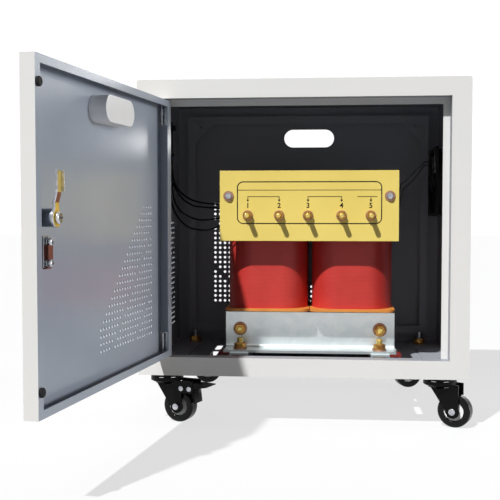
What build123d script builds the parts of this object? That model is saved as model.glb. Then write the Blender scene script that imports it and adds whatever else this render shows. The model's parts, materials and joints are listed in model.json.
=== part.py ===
"""Dry isolation transformer in a sheet steel case on casters, with its front door open.

The row frame has +Z up and stands on the floor at z = 0. Sizes of the case and of what it holds are
given from the case's own corner: left side, front face, underside.
"""
from build123d import *
from math import cos, radians, sin, tan
import os

os.makedirs("parts", exist_ok=True)

# Where the case's corner stands, so that the whole part is centred over the origin
case_left = -238.07
case_front = 23.61

# Case
case_width = 500.0
case_height = 450.0
case_depth = 375.0
sheet = 1.5
corner_radius = 4.0
side_bar = 29.0
top_bar = 28.0
jamb_depth = 22.0
stop_lip = 10.0
rear_side_bar = 23.0
rear_top_bar = 20.0
rear_seat_lip = 3.0
foot_flange = 50.0

# Vent fields: a triangle of holes with two diagonals left out, square holes inside the round ones
vent_pitch = 9.35
vent_rows = 21
vent_step = 2
vent_lead = 3
vent_hole_radius = 2.5
vent_side = vent_hole_radius * 2**0.5
wall_vent_y = 315.4
wall_vent_z = 230.3

# Rear cover
cover_gap = 1.5
cover_depth = 18.0
cover_lip = 12.0
gusset_leg = 35.0
gusset_hole_radius = 2.8
gusset_hole_in = 11.0
gusset_hole_down = 6.0
cover_vent_x = 72.6
cover_vent_z = 264.2
slot_length = 95.0
slot_height = 34.0
hand_slot_off_middle = 4.0
hand_slot_from_top = 60.2
hand_slot_x = case_width / 2 + hand_slot_off_middle
hand_slot_z = case_height - hand_slot_from_top
rim_depth = 5.0

# Floor slots
floor_slot_width = 11.5
floor_slot_length = 54.0
floor_slot_inset = 92.0
floor_slot_first = 72.0
floor_slot_pitch = 66.0
floor_slot_count = 4

# Door
door_gap = 3.0
door_rise = 1.5
door_drop = 3.5
door_depth = 17.6
door_lip_ends = 9.5
door_lip_free = 12.0
door_lip_hinge = 15.0
door_open_deg = 98.8
hinge_x = 37.5
hinge_y = 5.5
hinge_pin_radius = 2.5
hinge_fit = 0.3
hinge_bracket_height = 35.0
hinge_pin_reach = 5.0
door_vent_x = 44.75
door_vent_z = 258.1
bumper_radius = 5.5
bumper_height = 4.0
bumper_inset = 5.5
bumper_from_end = 30.0

# Pull cup
cup_from_top = 70.0
cup_x = case_width / 2
cup_z = case_height - cup_from_top
cup_fit = 0.3
cup_wall = 1.6
cup_depth = 25.0
cup_rim = 3.0
cup_rim_thickness = 1.2

# Quarter-turn lock
lock_from_side = 59.0
lock_above_middle = 20.4
lock_x = case_width - lock_from_side
lock_z = case_height / 2 + lock_above_middle
lock_plate_width = 27.0
lock_plate_below = 60.0
lock_plate_above = 22.6
lock_face = 1.2
barrel_radius = 10.0
barrel_depth = 25.0
core_radius = 7.0
core_fit = 0.3
key_slot_width = 3.0
cam_gap = 0.3
cam_thickness = 3.0
cam_width = 11.0
cam_eye_radius = 10.8
cam_reach = 51.6
cam_crank_start = 16.6
cam_crank_end = 27.6
cam_crank_offset = 3.0
lock_clamp_below = 37.4
lock_clamp_z = lock_z - lock_clamp_below
lock_clamp_height = 36.0
lock_clamp_width = 14.0
lock_clamp_thickness = 3.0
lock_screw_spread = 21.0
lock_screw_head = 4.2

# Transformer
core_off_middle = 10.0
core_x = case_width / 2 + core_off_middle
core_y = 188.0
limb_width = 54.0
limb_pitch = 139.0
core_half = (limb_pitch + limb_width) / 2
yoke_height = 56.0
stack_depth = 92.0
window_bottom = 88.0
window_height = 164.0
coil_width = 132.0
coil_length = 156.0
coil_radius = 45.0
coil_fit = 1.0
end_plate_width = 138.0
end_plate_length = 172.0
end_plate_thickness = 4.0
end_plate_radius = 14.0
clamp_thickness = 4.0
clamp_past_core = 43.5
clamp_length = 2 * (core_half + clamp_past_core)
clamp_leg = 62.0
clamp_flange = 42.0
clamp_bend = 4.0
clamp_foot_z = 21.0
upper_clamp_top = 315.0
upper_clamp_leg = 60.0
clamp_bolt_past_core = 19.5
clamp_bolt_x = core_half + clamp_bolt_past_core
lower_bolt_z = 55.0
upper_bolt_z = 283.0
bolt_radius = 5.0
bolt_fit = 0.5
bolt_hex = 17.0
bolt_head = 7.0
nut_height = 8.0
washer_radius = 11.5
washer_thickness = 2.0
bolt_past_nut = 5.0
foot_bolt_past_core = 17.5
foot_bolt_x = core_half + foot_bolt_past_core
foot_bolt_in = 18.0
foot_bolt_past_nut = 8.0
rail_width = 30.0
rail_wall = 3.0
rail_past_clamp = 12.0
insulator_reach = 19.0
insulator_depth = 30.0
insulator_thickness = 4.0

# Terminal board
board_width = 284.0
board_height = 112.0
board_bottom = 204.0
board_face = 78.0
board_thickness = 5.0
board_off_core = -1.0
board_x = core_x + board_off_core
board_bolt_z = 275.5
board_bolt_radius = 3.0
board_bolt_hex = 10.0
board_bolt_head = 4.0
board_nut_height = 5.0
arm_bottom = 268.0
arm_top = 294.0
arm_thickness = 3.0
arm_inset = 2.0
arm_bolt_in = 7.0
arm_leg_out = clamp_length / 2 - arm_inset - arm_thickness
board_bolt_x = arm_leg_out - arm_bolt_in
arm_toe = 16.0
arm_heel = 30.0
terminal_offsets = (-97.0, -47.0, -1.0, 52.0, 98.0)
terminal_z = 244.5
stud_radius = 4.0
stud_root_radius = 3.6
stud_reach = 25.0
stud_tail = 4.0
stud_hex = 13.0
stud_nut_height = 6.5
stud_head = 5.5
stud_washer_radius = 8.35
stud_washer = 1.6
stud_fit = 0.3

# Fan
fan_size = 120.0
fan_depth = 25.0
fan_from_back = 115.0
fan_from_top = 147.2
fan_y = case_depth - fan_from_back
fan_z = case_height - fan_from_top
fan_corner = 5.0
fan_bore_radius = 57.0
fan_flange = 4.0
fan_body_radius = 59.0
fan_motor_radius = 20.0
fan_strut_width = 6.0
fan_strut_thickness = 3.0
fan_hub_radius = 19.0
fan_blade_count = 7
fan_blade_tip = 53.0
fan_blade_chord = 26.0
fan_blade_thickness = 1.6
fan_blade_pitch = 38.0
fan_screw_radius = 2.2
fan_screw_pitch = 105.0
fan_shaft_radius = 4.0
fan_shaft_gap = 0.3
fan_slot_radii = (22.0, 36.0, 50.0)
fan_slot_width = 6.0
fan_slot_span = 62.0

# Casters
caster_height = 77.0
caster_inset = 38.0
stem_radius = 5.0
stem_past_nut = 12.0
stem_plate_radius = 22.0
stem_plate_thickness = 6.5
stem_nut_hex = 17.0
stem_nut_height = 8.0
stem_washer_radius = 12.5
stem_washer = 2.0
king_pin_radius = 6.0
king_pin_head_radius = 9.0
king_pin_head = 3.0
swivel_gap = 0.3
crown_radius = 25.5
crown_bottom = 57.5
crown_foot_radius = 14.0
crown_wall = 2.5
wheel_radius = 25.4
wheel_width = 20.0
wheel_trail = 24.0
tyre_bore_radius = 15.5
tyre_edge = 2.5
axle_radius = 4.0
axle_fit = 0.3
hub_boss_radius = 9.0
hub_recess = 2.5
cheek_gap = 2.0
cheek_thickness = 2.5
cheek_end_radius = 10.5
cheek_rear = 33.0
cheek_lead = -9.0
cheek_lead_z = 58.5
cheek_top_z = 66.0
brake_cheek_rear = 53.0
brake_cheek_bottom = 47.0
axle_head_radius = 5.0
axle_head = 3.5
brake_pin_t = 47.0
brake_pin_z = 54.4
brake_pin_radius = 2.5
brake_rivet_t = 33.0
brake_boss_radius = 4.5
pedal_gap = 0.4
pedal_tip_t = 78.0
pedal_tip_z = 60.5
pedal_thickness = 3.0
pedal_width = 30.0
release_tip_t = 54.5
release_tip_z = 32.0

# Leads: their bends take this share of the shorter run on either side
bend_share = 0.45
lead_radius = 1.5
thin_lead_radius = 1.2
winding_lead_radius = 2.5
lead_gap = 0.3
lead_depth = 90.5
bundle_x = 7.5
bundle_y = 250.5
bundle_spread = 1.75
bundle_top = 411.0
tie_z = 350.0
tie_width = 4.0
tie_wall = 1.2
tie_bore = 4.7
clip_z = 396.0
clip_height = 9.0
clip_depth = 14.0

core_front = core_y - stack_depth / 2
core_back = core_y + stack_depth / 2
door_left = side_bar + door_gap
door_right = case_width - side_bar - door_gap
door_bottom = top_bar + door_rise
door_top = case_height - top_bar - door_drop


def front_plane(depth):
    """A plane that faces the front at this depth: local x is the case's width, local y its height."""
    return Plane(origin=(case_left, case_front + depth, caster_height), x_dir=(1, 0, 0), z_dir=(0, -1, 0))


def level_plane(height):
    """A level plane at this height above the underside: local x is the width, local y the depth."""
    return Plane(origin=(case_left, case_front, caster_height + height), x_dir=(1, 0, 0), z_dir=(0, 0, 1))


def side_plane(across):
    """A plane that faces right at this width: local x is the depth, local y the height."""
    return Plane(origin=(case_left + across, case_front, caster_height), x_dir=(0, 1, 0), z_dir=(1, 0, 0))


def case_point(across, depth, height):
    """A point of the case in the row frame."""
    return Vector(case_left + across, case_front + depth, caster_height + height)


def block(left, right, low, high, mode=Mode.ADD):
    """A rectangle between two pairs of lines in the open sketch."""
    with Locations(((left + right) / 2, (low + high) / 2)):
        Rectangle(right - left, high - low, mode=mode)


def discs(places, radius, mode=Mode.ADD):
    """Circles of one radius at these places in the open sketch."""
    with Locations(*places):
        Circle(radius, mode=mode)


def hexagons(places, across_flats):
    """Hexagons of one size at these places in the open sketch."""
    with Locations(*places):
        RegularPolygon(across_flats / 2, 6, major_radius=False)


def vent_places(first_x, first_y, direction=1):
    """Centres of a vent field: a vertical edge, a level lower edge and a slanting one."""
    return [
        (first_x + direction * vent_pitch * column, first_y - vent_pitch * row)
        for row in range(0, vent_rows, vent_step)
        for column in range(0, min(row + vent_lead + 1, vent_rows), vent_step)
        if row - column not in (4, 12)
    ]


def vents(places):
    """Square vent holes cut from the open sketch."""
    with Locations(*places):
        Rectangle(vent_side, vent_side, mode=Mode.SUBTRACT)


# Caster places in the case's width and depth, with the way that each trails
caster_names = ("front_left", "front_right", "rear_left", "rear_right")
caster_places = (
    (caster_inset, caster_inset),
    (case_width - caster_inset, caster_inset),
    (caster_inset, case_depth - caster_inset),
    (case_width - caster_inset, case_depth - caster_inset),
)
caster_turns = (-20.0, -25.0, 12.0, -160.0)
braked_casters = ("front_left", "rear_right")

# Case: the folded wrap of two side walls, top and turned-in feet
with BuildPart() as cabinet_wrap:
    with BuildSketch(front_plane(sheet)) as wrap_section:
        block(0, case_width, sheet, case_height)
        fillet(wrap_section.vertices().group_by(Axis.Y)[-1], corner_radius)
        with Locations((case_width / 2, (2 * sheet + case_height - sheet) / 2)):
            RectangleRounded(
                case_width - 2 * sheet, case_height - 3 * sheet, corner_radius - sheet, mode=Mode.SUBTRACT
            )
        block(foot_flange, case_width - foot_flange, 0, 3 * sheet, mode=Mode.SUBTRACT)
    extrude(amount=-(case_depth - 2 * sheet))
    with BuildSketch(side_plane(0)):
        with Locations(*vent_places(wall_vent_y, wall_vent_z, -1)):
            Rectangle(vent_side, vent_side)
    extrude(amount=sheet, mode=Mode.SUBTRACT)
    with BuildSketch(level_plane(0)):
        discs(caster_places, stem_radius + bolt_fit)
    extrude(amount=3 * sheet, mode=Mode.SUBTRACT)
fan_slots = [
    CenterArc((fan_y, fan_z), radius, quarter * 90 + (90 - fan_slot_span) / 2, fan_slot_span)
    for radius in fan_slot_radii
    for quarter in range(4)
]
with BuildPart() as fan_vent:
    with BuildSketch(side_plane(case_width - sheet)):
        for fan_slot in fan_slots:
            SlotArc(fan_slot, fan_slot_width)
    extrude(amount=sheet)
with cabinet_wrap:
    add(fan_vent.part, mode=Mode.SUBTRACT)
cabinet_wrap.part.label = "cabinet_wrap"
export_step(cabinet_wrap.part, "parts/cabinet_wrap.step")

# Case: the face ring round the door opening, its return flange and the stop lips
with BuildPart() as front_frame:
    with BuildSketch(front_plane(0)) as face_ring:
        block(0, case_width, 0, case_height)
        fillet(face_ring.vertices().group_by(Axis.Y)[-1], corner_radius)
        block(side_bar, case_width - side_bar, top_bar, case_height - top_bar, mode=Mode.SUBTRACT)
    extrude(amount=-sheet)
    with BuildSketch(front_plane(0)):
        block(side_bar - sheet, case_width - side_bar + sheet, top_bar - sheet, case_height - top_bar + sheet)
        block(side_bar, case_width - side_bar, top_bar, case_height - top_bar, mode=Mode.SUBTRACT)
    extrude(amount=-(jamb_depth + sheet))
    with BuildSketch(front_plane(jamb_depth)):
        block(side_bar, case_width - side_bar, top_bar, case_height - top_bar)
        block(
            side_bar + stop_lip,
            case_width - side_bar - stop_lip,
            top_bar,
            case_height - top_bar - stop_lip,
            mode=Mode.SUBTRACT,
        )
    extrude(amount=-sheet)
    with BuildSketch(level_plane(0)):
        discs([(hinge_x, hinge_y)], hinge_pin_radius + hinge_fit)
    extrude(amount=case_height, mode=Mode.SUBTRACT)
front_frame.part.label = "front_frame"
export_step(front_frame.part, "parts/front_frame.step")

# Case: the face ring round the back opening, with a narrow lip on which the cover seats
cover_seat = case_depth - cover_depth
with BuildPart() as rear_frame:
    with BuildSketch(front_plane(case_depth - sheet)) as back_ring:
        block(0, case_width, 0, case_height)
        fillet(back_ring.vertices().group_by(Axis.Y)[-1], corner_radius)
        block(
            rear_side_bar,
            case_width - rear_side_bar,
            rear_top_bar,
            case_height - rear_top_bar,
            mode=Mode.SUBTRACT,
        )
    extrude(amount=-sheet)
    with BuildSketch(front_plane(cover_seat - sheet)):
        block(
            rear_side_bar - sheet,
            case_width - rear_side_bar + sheet,
            rear_top_bar - sheet,
            case_height - rear_top_bar + sheet,
        )
        block(
            rear_side_bar,
            case_width - rear_side_bar,
            rear_top_bar,
            case_height - rear_top_bar,
            mode=Mode.SUBTRACT,
        )
    extrude(amount=-(cover_depth + sheet))
    with BuildSketch(front_plane(cover_seat - sheet)):
        block(rear_side_bar, case_width - rear_side_bar, rear_top_bar, case_height - rear_top_bar)
        block(
            rear_side_bar + rear_seat_lip,
            case_width - rear_side_bar - rear_seat_lip,
            rear_top_bar + rear_seat_lip,
            case_height - rear_top_bar - rear_seat_lip,
            mode=Mode.SUBTRACT,
        )
    extrude(amount=-sheet)
rear_frame.part.label = "rear_frame"
export_step(rear_frame.part, "parts/rear_frame.step")

# Case: the floor sheet with its long slots
floor_slots = [
    (across, floor_slot_first + floor_slot_pitch * index)
    for across in (floor_slot_inset, case_width - floor_slot_inset)
    for index in range(floor_slot_count)
]
with BuildPart() as floor_plate:
    with BuildSketch(level_plane(0)):
        block(0, case_width, sheet, case_depth - sheet)
        with Locations(*floor_slots):
            SlotOverall(floor_slot_length, floor_slot_width, rotation=90, mode=Mode.SUBTRACT)
        discs(caster_places, stem_radius + bolt_fit, mode=Mode.SUBTRACT)
    extrude(amount=sheet)
floor_plate.part.label = "floor_plate"
export_step(floor_plate.part, "parts/floor_plate.step")

# Case: the inset rear cover, a pan with turned-in lips, corner gussets and a hemmed hand slot
cover_left = rear_side_bar + cover_gap
cover_right = case_width - cover_left
cover_low = rear_top_bar + cover_gap
cover_high = case_height - cover_low
gusset_top = cover_high - cover_lip
gusset_sides = ((cover_left + cover_lip, 1), (cover_right - cover_lip, -1))
with BuildPart() as rear_cover:
    with BuildSketch(front_plane(case_depth - sheet)):
        block(cover_left, cover_right, cover_low, cover_high)
        vents(vent_places(cover_vent_x, cover_vent_z))
        with Locations((hand_slot_x, hand_slot_z)):
            SlotOverall(slot_length, slot_height, mode=Mode.SUBTRACT)
    extrude(amount=-sheet)
    with BuildSketch(front_plane(cover_seat)):
        block(cover_left, cover_right, cover_low, cover_high)
        block(cover_left + sheet, cover_right - sheet, cover_low + sheet, cover_high - sheet, mode=Mode.SUBTRACT)
    extrude(amount=-cover_depth)
    with BuildSketch(front_plane(cover_seat)):
        block(cover_left, cover_right, cover_low, cover_high)
        block(
            cover_left + cover_lip,
            cover_right - cover_lip,
            cover_low + cover_lip,
            cover_high - cover_lip,
            mode=Mode.SUBTRACT,
        )
        for corner, inward in gusset_sides:
            with BuildLine():
                Polyline(
                    (corner, gusset_top - gusset_leg),
                    (corner + inward * gusset_leg, gusset_top),
                    (corner, gusset_top),
                    close=True,
                )
            make_face()
        discs(
            [(corner + inward * gusset_hole_in, gusset_top - gusset_hole_down) for corner, inward in gusset_sides],
            gusset_hole_radius,
            mode=Mode.SUBTRACT,
        )
    extrude(amount=-sheet)
    with BuildSketch(front_plane(case_depth - rim_depth)):
        with Locations((hand_slot_x, hand_slot_z)):
            SlotOverall(slot_length + 2 * sheet, slot_height + 2 * sheet)
            SlotOverall(slot_length, slot_height, mode=Mode.SUBTRACT)
    extrude(amount=-rim_depth)
rear_cover.part.label = "rear_cover"
export_step(rear_cover.part, "parts/rear_cover.step")


def door_plane(depth):
    """A plane that faces out of the open door at this depth: local x as on the closed door, local y up."""
    turn = radians(door_open_deg)
    along = Vector(cos(turn), -sin(turn), 0)
    inward = Vector(sin(turn), cos(turn), 0)
    origin = case_point(hinge_x, hinge_y, 0) - along * hinge_x + inward * (depth - hinge_y)
    return Plane(origin=origin, x_dir=along, z_dir=-inward)


def door_level_plane(height):
    """A level plane of the open door: local x as on the closed door, local y the depth."""
    turn = radians(door_open_deg)
    along = Vector(cos(turn), -sin(turn), 0)
    inward = Vector(sin(turn), cos(turn), 0)
    origin = case_point(hinge_x, hinge_y, height) - along * hinge_x - inward * hinge_y
    return Plane(origin=origin, x_dir=along, z_dir=(0, 0, 1))


# Door: the pan with turned edges, vents, the cup's slot and the lock's hole
with BuildPart() as door_panel:
    with BuildSketch(door_plane(0)):
        block(door_left, door_right, door_bottom, door_top)
        vents(vent_places(door_left + door_vent_x, door_vent_z))
        with Locations((cup_x, cup_z)):
            SlotOverall(slot_length + 2 * cup_fit, slot_height + 2 * cup_fit, mode=Mode.SUBTRACT)
        discs([(lock_x, lock_z)], barrel_radius + core_fit, mode=Mode.SUBTRACT)
    extrude(amount=-sheet)
    with BuildSketch(door_plane(0)):
        block(door_left, door_right, door_bottom, door_top)
        block(door_left + sheet, door_right - sheet, door_bottom + sheet, door_top - sheet, mode=Mode.SUBTRACT)
    extrude(amount=-door_depth)
    with BuildSketch(door_plane(door_depth - sheet)):
        block(door_left, door_right, door_bottom, door_top)
        block(
            door_left + door_lip_hinge,
            door_right - door_lip_free,
            door_bottom + door_lip_ends,
            door_top - door_lip_ends,
            mode=Mode.SUBTRACT,
        )
    extrude(amount=-sheet)
    with BuildSketch(door_level_plane(0)):
        discs([(hinge_x, hinge_y)], hinge_pin_radius)
    extrude(amount=case_height, mode=Mode.SUBTRACT)
door_panel.part.label = "door_panel"
export_step(door_panel.part, "parts/door_panel.step")

# Door: an angle bracket in each hinge corner, with its pin through the door's end and the frame
bracket_left = door_left + sheet
bracket_right = door_left + door_lip_hinge
bracket_back = door_depth - sheet
with BuildPart() as hinge_brackets:
    for end, toward in ((door_top - sheet, -1), (door_bottom + sheet, 1)):
        low = min(end, end + toward * hinge_bracket_height)
        with BuildSketch(door_level_plane(low)) as bracket_section:
            block(bracket_left, bracket_left + sheet, sheet, bracket_back)
            block(bracket_left, bracket_right, bracket_back - sheet, bracket_back)
        extrude(amount=hinge_bracket_height)
        with BuildSketch(door_level_plane(end if toward > 0 else end - sheet)):
            block(bracket_left, bracket_right, sheet, bracket_back)
        extrude(amount=sheet)
        pin_low = top_bar - hinge_pin_reach if toward > 0 else door_top - hinge_bracket_height
        pin_high = case_height - top_bar + hinge_pin_reach if toward < 0 else door_bottom + hinge_bracket_height
        with BuildSketch(door_level_plane(pin_low)):
            discs([(hinge_x, hinge_y)], hinge_pin_radius)
        extrude(amount=pin_high - pin_low)
hinge_brackets.part.label = "hinge_brackets"
export_step(hinge_brackets.part, "parts/hinge_brackets.step")

# Door: two rubber dots on the free edge's lip, which meet the stop lip
bumper_places = [
    (door_right - bumper_inset, door_top - bumper_from_end),
    (door_right - bumper_inset, door_bottom + bumper_from_end),
]
with BuildPart() as door_bumpers:
    with BuildSketch(door_plane(door_depth)):
        discs(bumper_places, bumper_radius)
    extrude(amount=-bumper_height)
    chamfer(door_bumpers.faces().filter_by(door_plane(0)).edges(), bumper_radius / 5)
door_bumpers.part.label = "door_bumpers"
export_step(door_bumpers.part, "parts/door_bumpers.step")

# Door: the moulded pull cup, with a rim outside the door
with BuildPart() as pull_cup:
    with BuildSketch(door_plane(-cup_rim_thickness)):
        with Locations((cup_x, cup_z)):
            SlotOverall(slot_length + 2 * cup_rim, slot_height + 2 * cup_rim)
    extrude(amount=-cup_rim_thickness)
    with BuildSketch(door_plane(0)):
        with Locations((cup_x, cup_z)):
            SlotOverall(slot_length, slot_height)
    extrude(amount=-cup_depth)
    with BuildSketch(door_plane(-cup_rim_thickness)):
        with Locations((cup_x, cup_z)):
            SlotOverall(slot_length - 2 * cup_wall, slot_height - 2 * cup_wall)
    extrude(amount=-(cup_rim_thickness + cup_depth - cup_wall), mode=Mode.SUBTRACT)
pull_cup.part.label = "pull_cup"
export_step(pull_cup.part, "parts/pull_cup.step")

# Lock: face plate outside, barrel through the door and a base strip inside
with BuildPart() as lock_housing:
    with BuildSketch(door_plane(-lock_face)):
        with Locations((lock_x, lock_z + (lock_plate_above - lock_plate_below) / 2)):
            RectangleRounded(lock_plate_width, lock_plate_above + lock_plate_below, corner_radius)
    extrude(amount=-lock_face)
    with BuildSketch(door_plane(0)):
        discs([(lock_x, lock_z)], barrel_radius)
    extrude(amount=-barrel_depth)
    with BuildSketch(door_plane(sheet)):
        with Locations((lock_x, lock_z + (lock_plate_above - lock_plate_below) / 2)):
            RectangleRounded(lock_clamp_width, lock_plate_above + lock_plate_below, corner_radius)
    extrude(amount=-sheet)
    with BuildSketch(door_plane(-lock_face)):
        discs([(lock_x, lock_z)], core_radius + core_fit)
    extrude(amount=-(lock_face + barrel_depth), mode=Mode.SUBTRACT)
lock_housing.part.label = "lock_housing"
export_step(lock_housing.part, "parts/lock_housing.step")

# Lock: the turning core, flush outside with a key slot, square where the cam sits on it
cam_depth = barrel_depth + cam_gap
cam_square = core_radius
with BuildPart() as lock_core:
    with BuildSketch(door_plane(-lock_face)):
        discs([(lock_x, lock_z)], core_radius)
    extrude(amount=-(lock_face + cam_depth))
    with BuildSketch(door_plane(cam_depth)):
        with Locations((lock_x, lock_z)):
            Rectangle(cam_square, cam_square)
    extrude(amount=-cam_thickness)
    with BuildSketch(door_plane(-lock_face)):
        with Locations((lock_x, lock_z)):
            Rectangle(key_slot_width, core_radius * 1.4)
    extrude(amount=-key_slot_width, mode=Mode.SUBTRACT)
lock_core.part.label = "lock_core"
export_step(lock_core.part, "parts/lock_core.step")


def door_edge_plane(across):
    """A plane square to the open door at this width: local x is the depth, local y the height."""
    turn = radians(door_open_deg)
    along = Vector(cos(turn), -sin(turn), 0)
    inward = Vector(sin(turn), cos(turn), 0)
    origin = case_point(hinge_x, hinge_y, 0) + along * (across - hinge_x) - inward * hinge_y
    return Plane(origin=origin, x_dir=inward, z_dir=inward.cross(Vector(0, 0, 1)))


# Lock: the cranked cam, its round eye first and then its cranked arm
with BuildPart() as lock_cam:
    with BuildSketch(door_plane(cam_depth)):
        discs([(lock_x, lock_z)], cam_eye_radius)
        block(lock_x - cam_width / 2, lock_x + cam_width / 2, lock_z, lock_z + cam_crank_start)
        with Locations((lock_x, lock_z)):
            Rectangle(cam_square, cam_square, mode=Mode.SUBTRACT)
    extrude(amount=-cam_thickness)
    with BuildSketch(door_edge_plane(lock_x)):
        with BuildLine():
            Polyline(
                (cam_depth, lock_z + cam_eye_radius),
                (cam_depth, lock_z + cam_crank_start),
                (cam_depth + cam_crank_offset, lock_z + cam_crank_end),
                (cam_depth + cam_crank_offset, lock_z + cam_reach),
                (cam_depth + cam_crank_offset + cam_thickness, lock_z + cam_reach),
                (cam_depth + cam_crank_offset + cam_thickness, lock_z + cam_crank_end),
                (cam_depth + cam_thickness, lock_z + cam_crank_start),
                (cam_depth + cam_thickness, lock_z + cam_eye_radius),
                close=True,
            )
        make_face()
    extrude(amount=cam_width / 2, both=True)
lock_cam.part.label = "lock_cam"
export_step(lock_cam.part, "parts/lock_cam.step")

# Lock: the cam's pan head screw, and the clamp plate with its two screws
cam_face = cam_depth + cam_thickness
with BuildPart() as cam_screw:
    with BuildSketch(door_plane(cam_face)):
        discs([(lock_x, lock_z)], core_radius)
    extrude(amount=-lock_screw_head)
    chamfer(cam_screw.faces().sort_by(Axis.X)[-1].edges(), core_radius / 5)
cam_screw.part.label = "cam_screw"
export_step(cam_screw.part, "parts/cam_screw.step")

clamp_screws = [(lock_x, lock_clamp_z + side * lock_screw_spread / 2) for side in (-1, 1)]
with BuildPart() as lock_clamp:
    with BuildSketch(door_plane(2 * sheet)):
        with Locations((lock_x, lock_clamp_z)):
            Rectangle(lock_clamp_width, lock_clamp_height)
    extrude(amount=-lock_clamp_thickness)
    with BuildSketch(door_plane(2 * sheet + lock_clamp_thickness)):
        discs(clamp_screws, lock_screw_head)
    extrude(amount=-lock_screw_head)
lock_clamp.part.label = "lock_clamp"
export_step(lock_clamp.part, "parts/lock_clamp.step")

# Transformer: two channels on the floor, open below
clamp_sides = {"front": (core_front, -1), "rear": (core_back, 1)}
rail_front = core_front - clamp_flange - rail_past_clamp
rail_length = stack_depth + 2 * (clamp_flange + rail_past_clamp)
foot_bolts_at = [
    (core_x + side * foot_bolt_x, face + outward * (clamp_thickness + clamp_flange - foot_bolt_in))
    for side in (-1, 1)
    for face, outward in clamp_sides.values()
]
with BuildPart() as transformer_rails:
    with BuildSketch(front_plane(rail_front)):
        for side in (-1, 1):
            middle = core_x + side * foot_bolt_x
            block(middle - rail_width / 2, middle + rail_width / 2, sheet, clamp_foot_z)
            block(
                middle - rail_width / 2 + rail_wall,
                middle + rail_width / 2 - rail_wall,
                sheet,
                clamp_foot_z - rail_wall,
                mode=Mode.SUBTRACT,
            )
    extrude(amount=-rail_length)
    with BuildSketch(level_plane(clamp_foot_z - rail_wall)):
        discs(foot_bolts_at, bolt_radius + bolt_fit)
    extrude(amount=rail_wall, mode=Mode.SUBTRACT)
transformer_rails.part.label = "transformer_rails"
export_step(transformer_rails.part, "parts/transformer_rails.step")

# Transformer: the two-limb core
window_half = (limb_pitch - limb_width) / 2
window_top = window_bottom + window_height
with BuildPart() as transformer_core:
    with BuildSketch(front_plane(core_front)):
        block(core_x - core_half, core_x + core_half, window_bottom - yoke_height, window_top + yoke_height)
        block(core_x - window_half, core_x + window_half, window_bottom, window_top, mode=Mode.SUBTRACT)
    extrude(amount=-stack_depth)
transformer_core.part.label = "transformer_core"
export_step(transformer_core.part, "parts/transformer_core.step")

# Transformer: a wound coil on each limb, between its end plates
limb_places = {"left": core_x - limb_pitch / 2, "right": core_x + limb_pitch / 2}
for side, middle in limb_places.items():
    with BuildPart() as coil:
        with BuildSketch(level_plane(window_bottom + end_plate_thickness)):
            with Locations((middle, core_y)):
                RectangleRounded(coil_width, coil_length, coil_radius)
                Rectangle(limb_width + 2 * coil_fit, stack_depth + 2 * coil_fit, mode=Mode.SUBTRACT)
        extrude(amount=window_height - 2 * end_plate_thickness)
    coil.part.label = f"coil_{side}"
    export_step(coil.part, f"parts/coil_{side}.step")

with BuildPart() as coil_flanges:
    for height in (window_bottom, window_top - end_plate_thickness):
        with BuildSketch(level_plane(height)):
            with Locations(*[(middle, core_y) for middle in limb_places.values()]):
                RectangleRounded(end_plate_width, end_plate_length, end_plate_radius)
                Rectangle(limb_width + 2 * coil_fit, stack_depth + 2 * coil_fit, mode=Mode.SUBTRACT)
        extrude(amount=end_plate_thickness)
coil_flanges.part.label = "coil_flanges"
export_step(coil_flanges.part, "parts/coil_flanges.step")

# Transformer: four angles that clamp the yokes
clamp_left = core_x - clamp_length / 2
for side, (face, outward) in clamp_sides.items():
    back = face + outward * clamp_thickness
    toe = back + outward * clamp_flange
    with BuildPart() as lower_clamp:
        with BuildSketch(side_plane(clamp_left)) as angle:
            block(min(face, back), max(face, back), clamp_foot_z, clamp_foot_z + clamp_leg)
            block(min(face, toe), max(face, toe), clamp_foot_z, clamp_foot_z + clamp_thickness)
            fillet(angle.vertices().sort_by_distance((back, clamp_foot_z + clamp_thickness))[0], clamp_bend)
            fillet(angle.vertices().sort_by_distance((face, clamp_foot_z))[0], clamp_bend + clamp_thickness)
        extrude(amount=clamp_length)
        with BuildSketch(front_plane(min(face, back))):
            discs([(core_x + s * clamp_bolt_x, lower_bolt_z) for s in (-1, 1)], bolt_radius + bolt_fit)
        extrude(amount=-clamp_thickness, mode=Mode.SUBTRACT)
        with BuildSketch(level_plane(clamp_foot_z)):
            discs(foot_bolts_at, bolt_radius + bolt_fit)
        extrude(amount=clamp_thickness, mode=Mode.SUBTRACT)
    lower_clamp.part.label = f"lower_clamp_{side}"
    export_step(lower_clamp.part, f"parts/lower_clamp_{side}.step")
    with BuildPart() as upper_clamp:
        with BuildSketch(side_plane(clamp_left)) as angle:
            block(min(face, back), max(face, back), upper_clamp_top - upper_clamp_leg, upper_clamp_top)
            block(min(face, toe), max(face, toe), upper_clamp_top - clamp_thickness, upper_clamp_top)
            fillet(angle.vertices().sort_by_distance((back, upper_clamp_top - clamp_thickness))[0], clamp_bend)
            fillet(angle.vertices().sort_by_distance((face, upper_clamp_top))[0], clamp_bend + clamp_thickness)
        extrude(amount=clamp_length)
        with BuildSketch(front_plane(min(face, back))):
            discs([(core_x + s * clamp_bolt_x, upper_bolt_z) for s in (-1, 1)], bolt_radius + bolt_fit)
        extrude(amount=-clamp_thickness, mode=Mode.SUBTRACT)
    upper_clamp.part.label = f"upper_clamp_{side}"
    export_step(upper_clamp.part, f"parts/upper_clamp_{side}.step")

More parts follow.
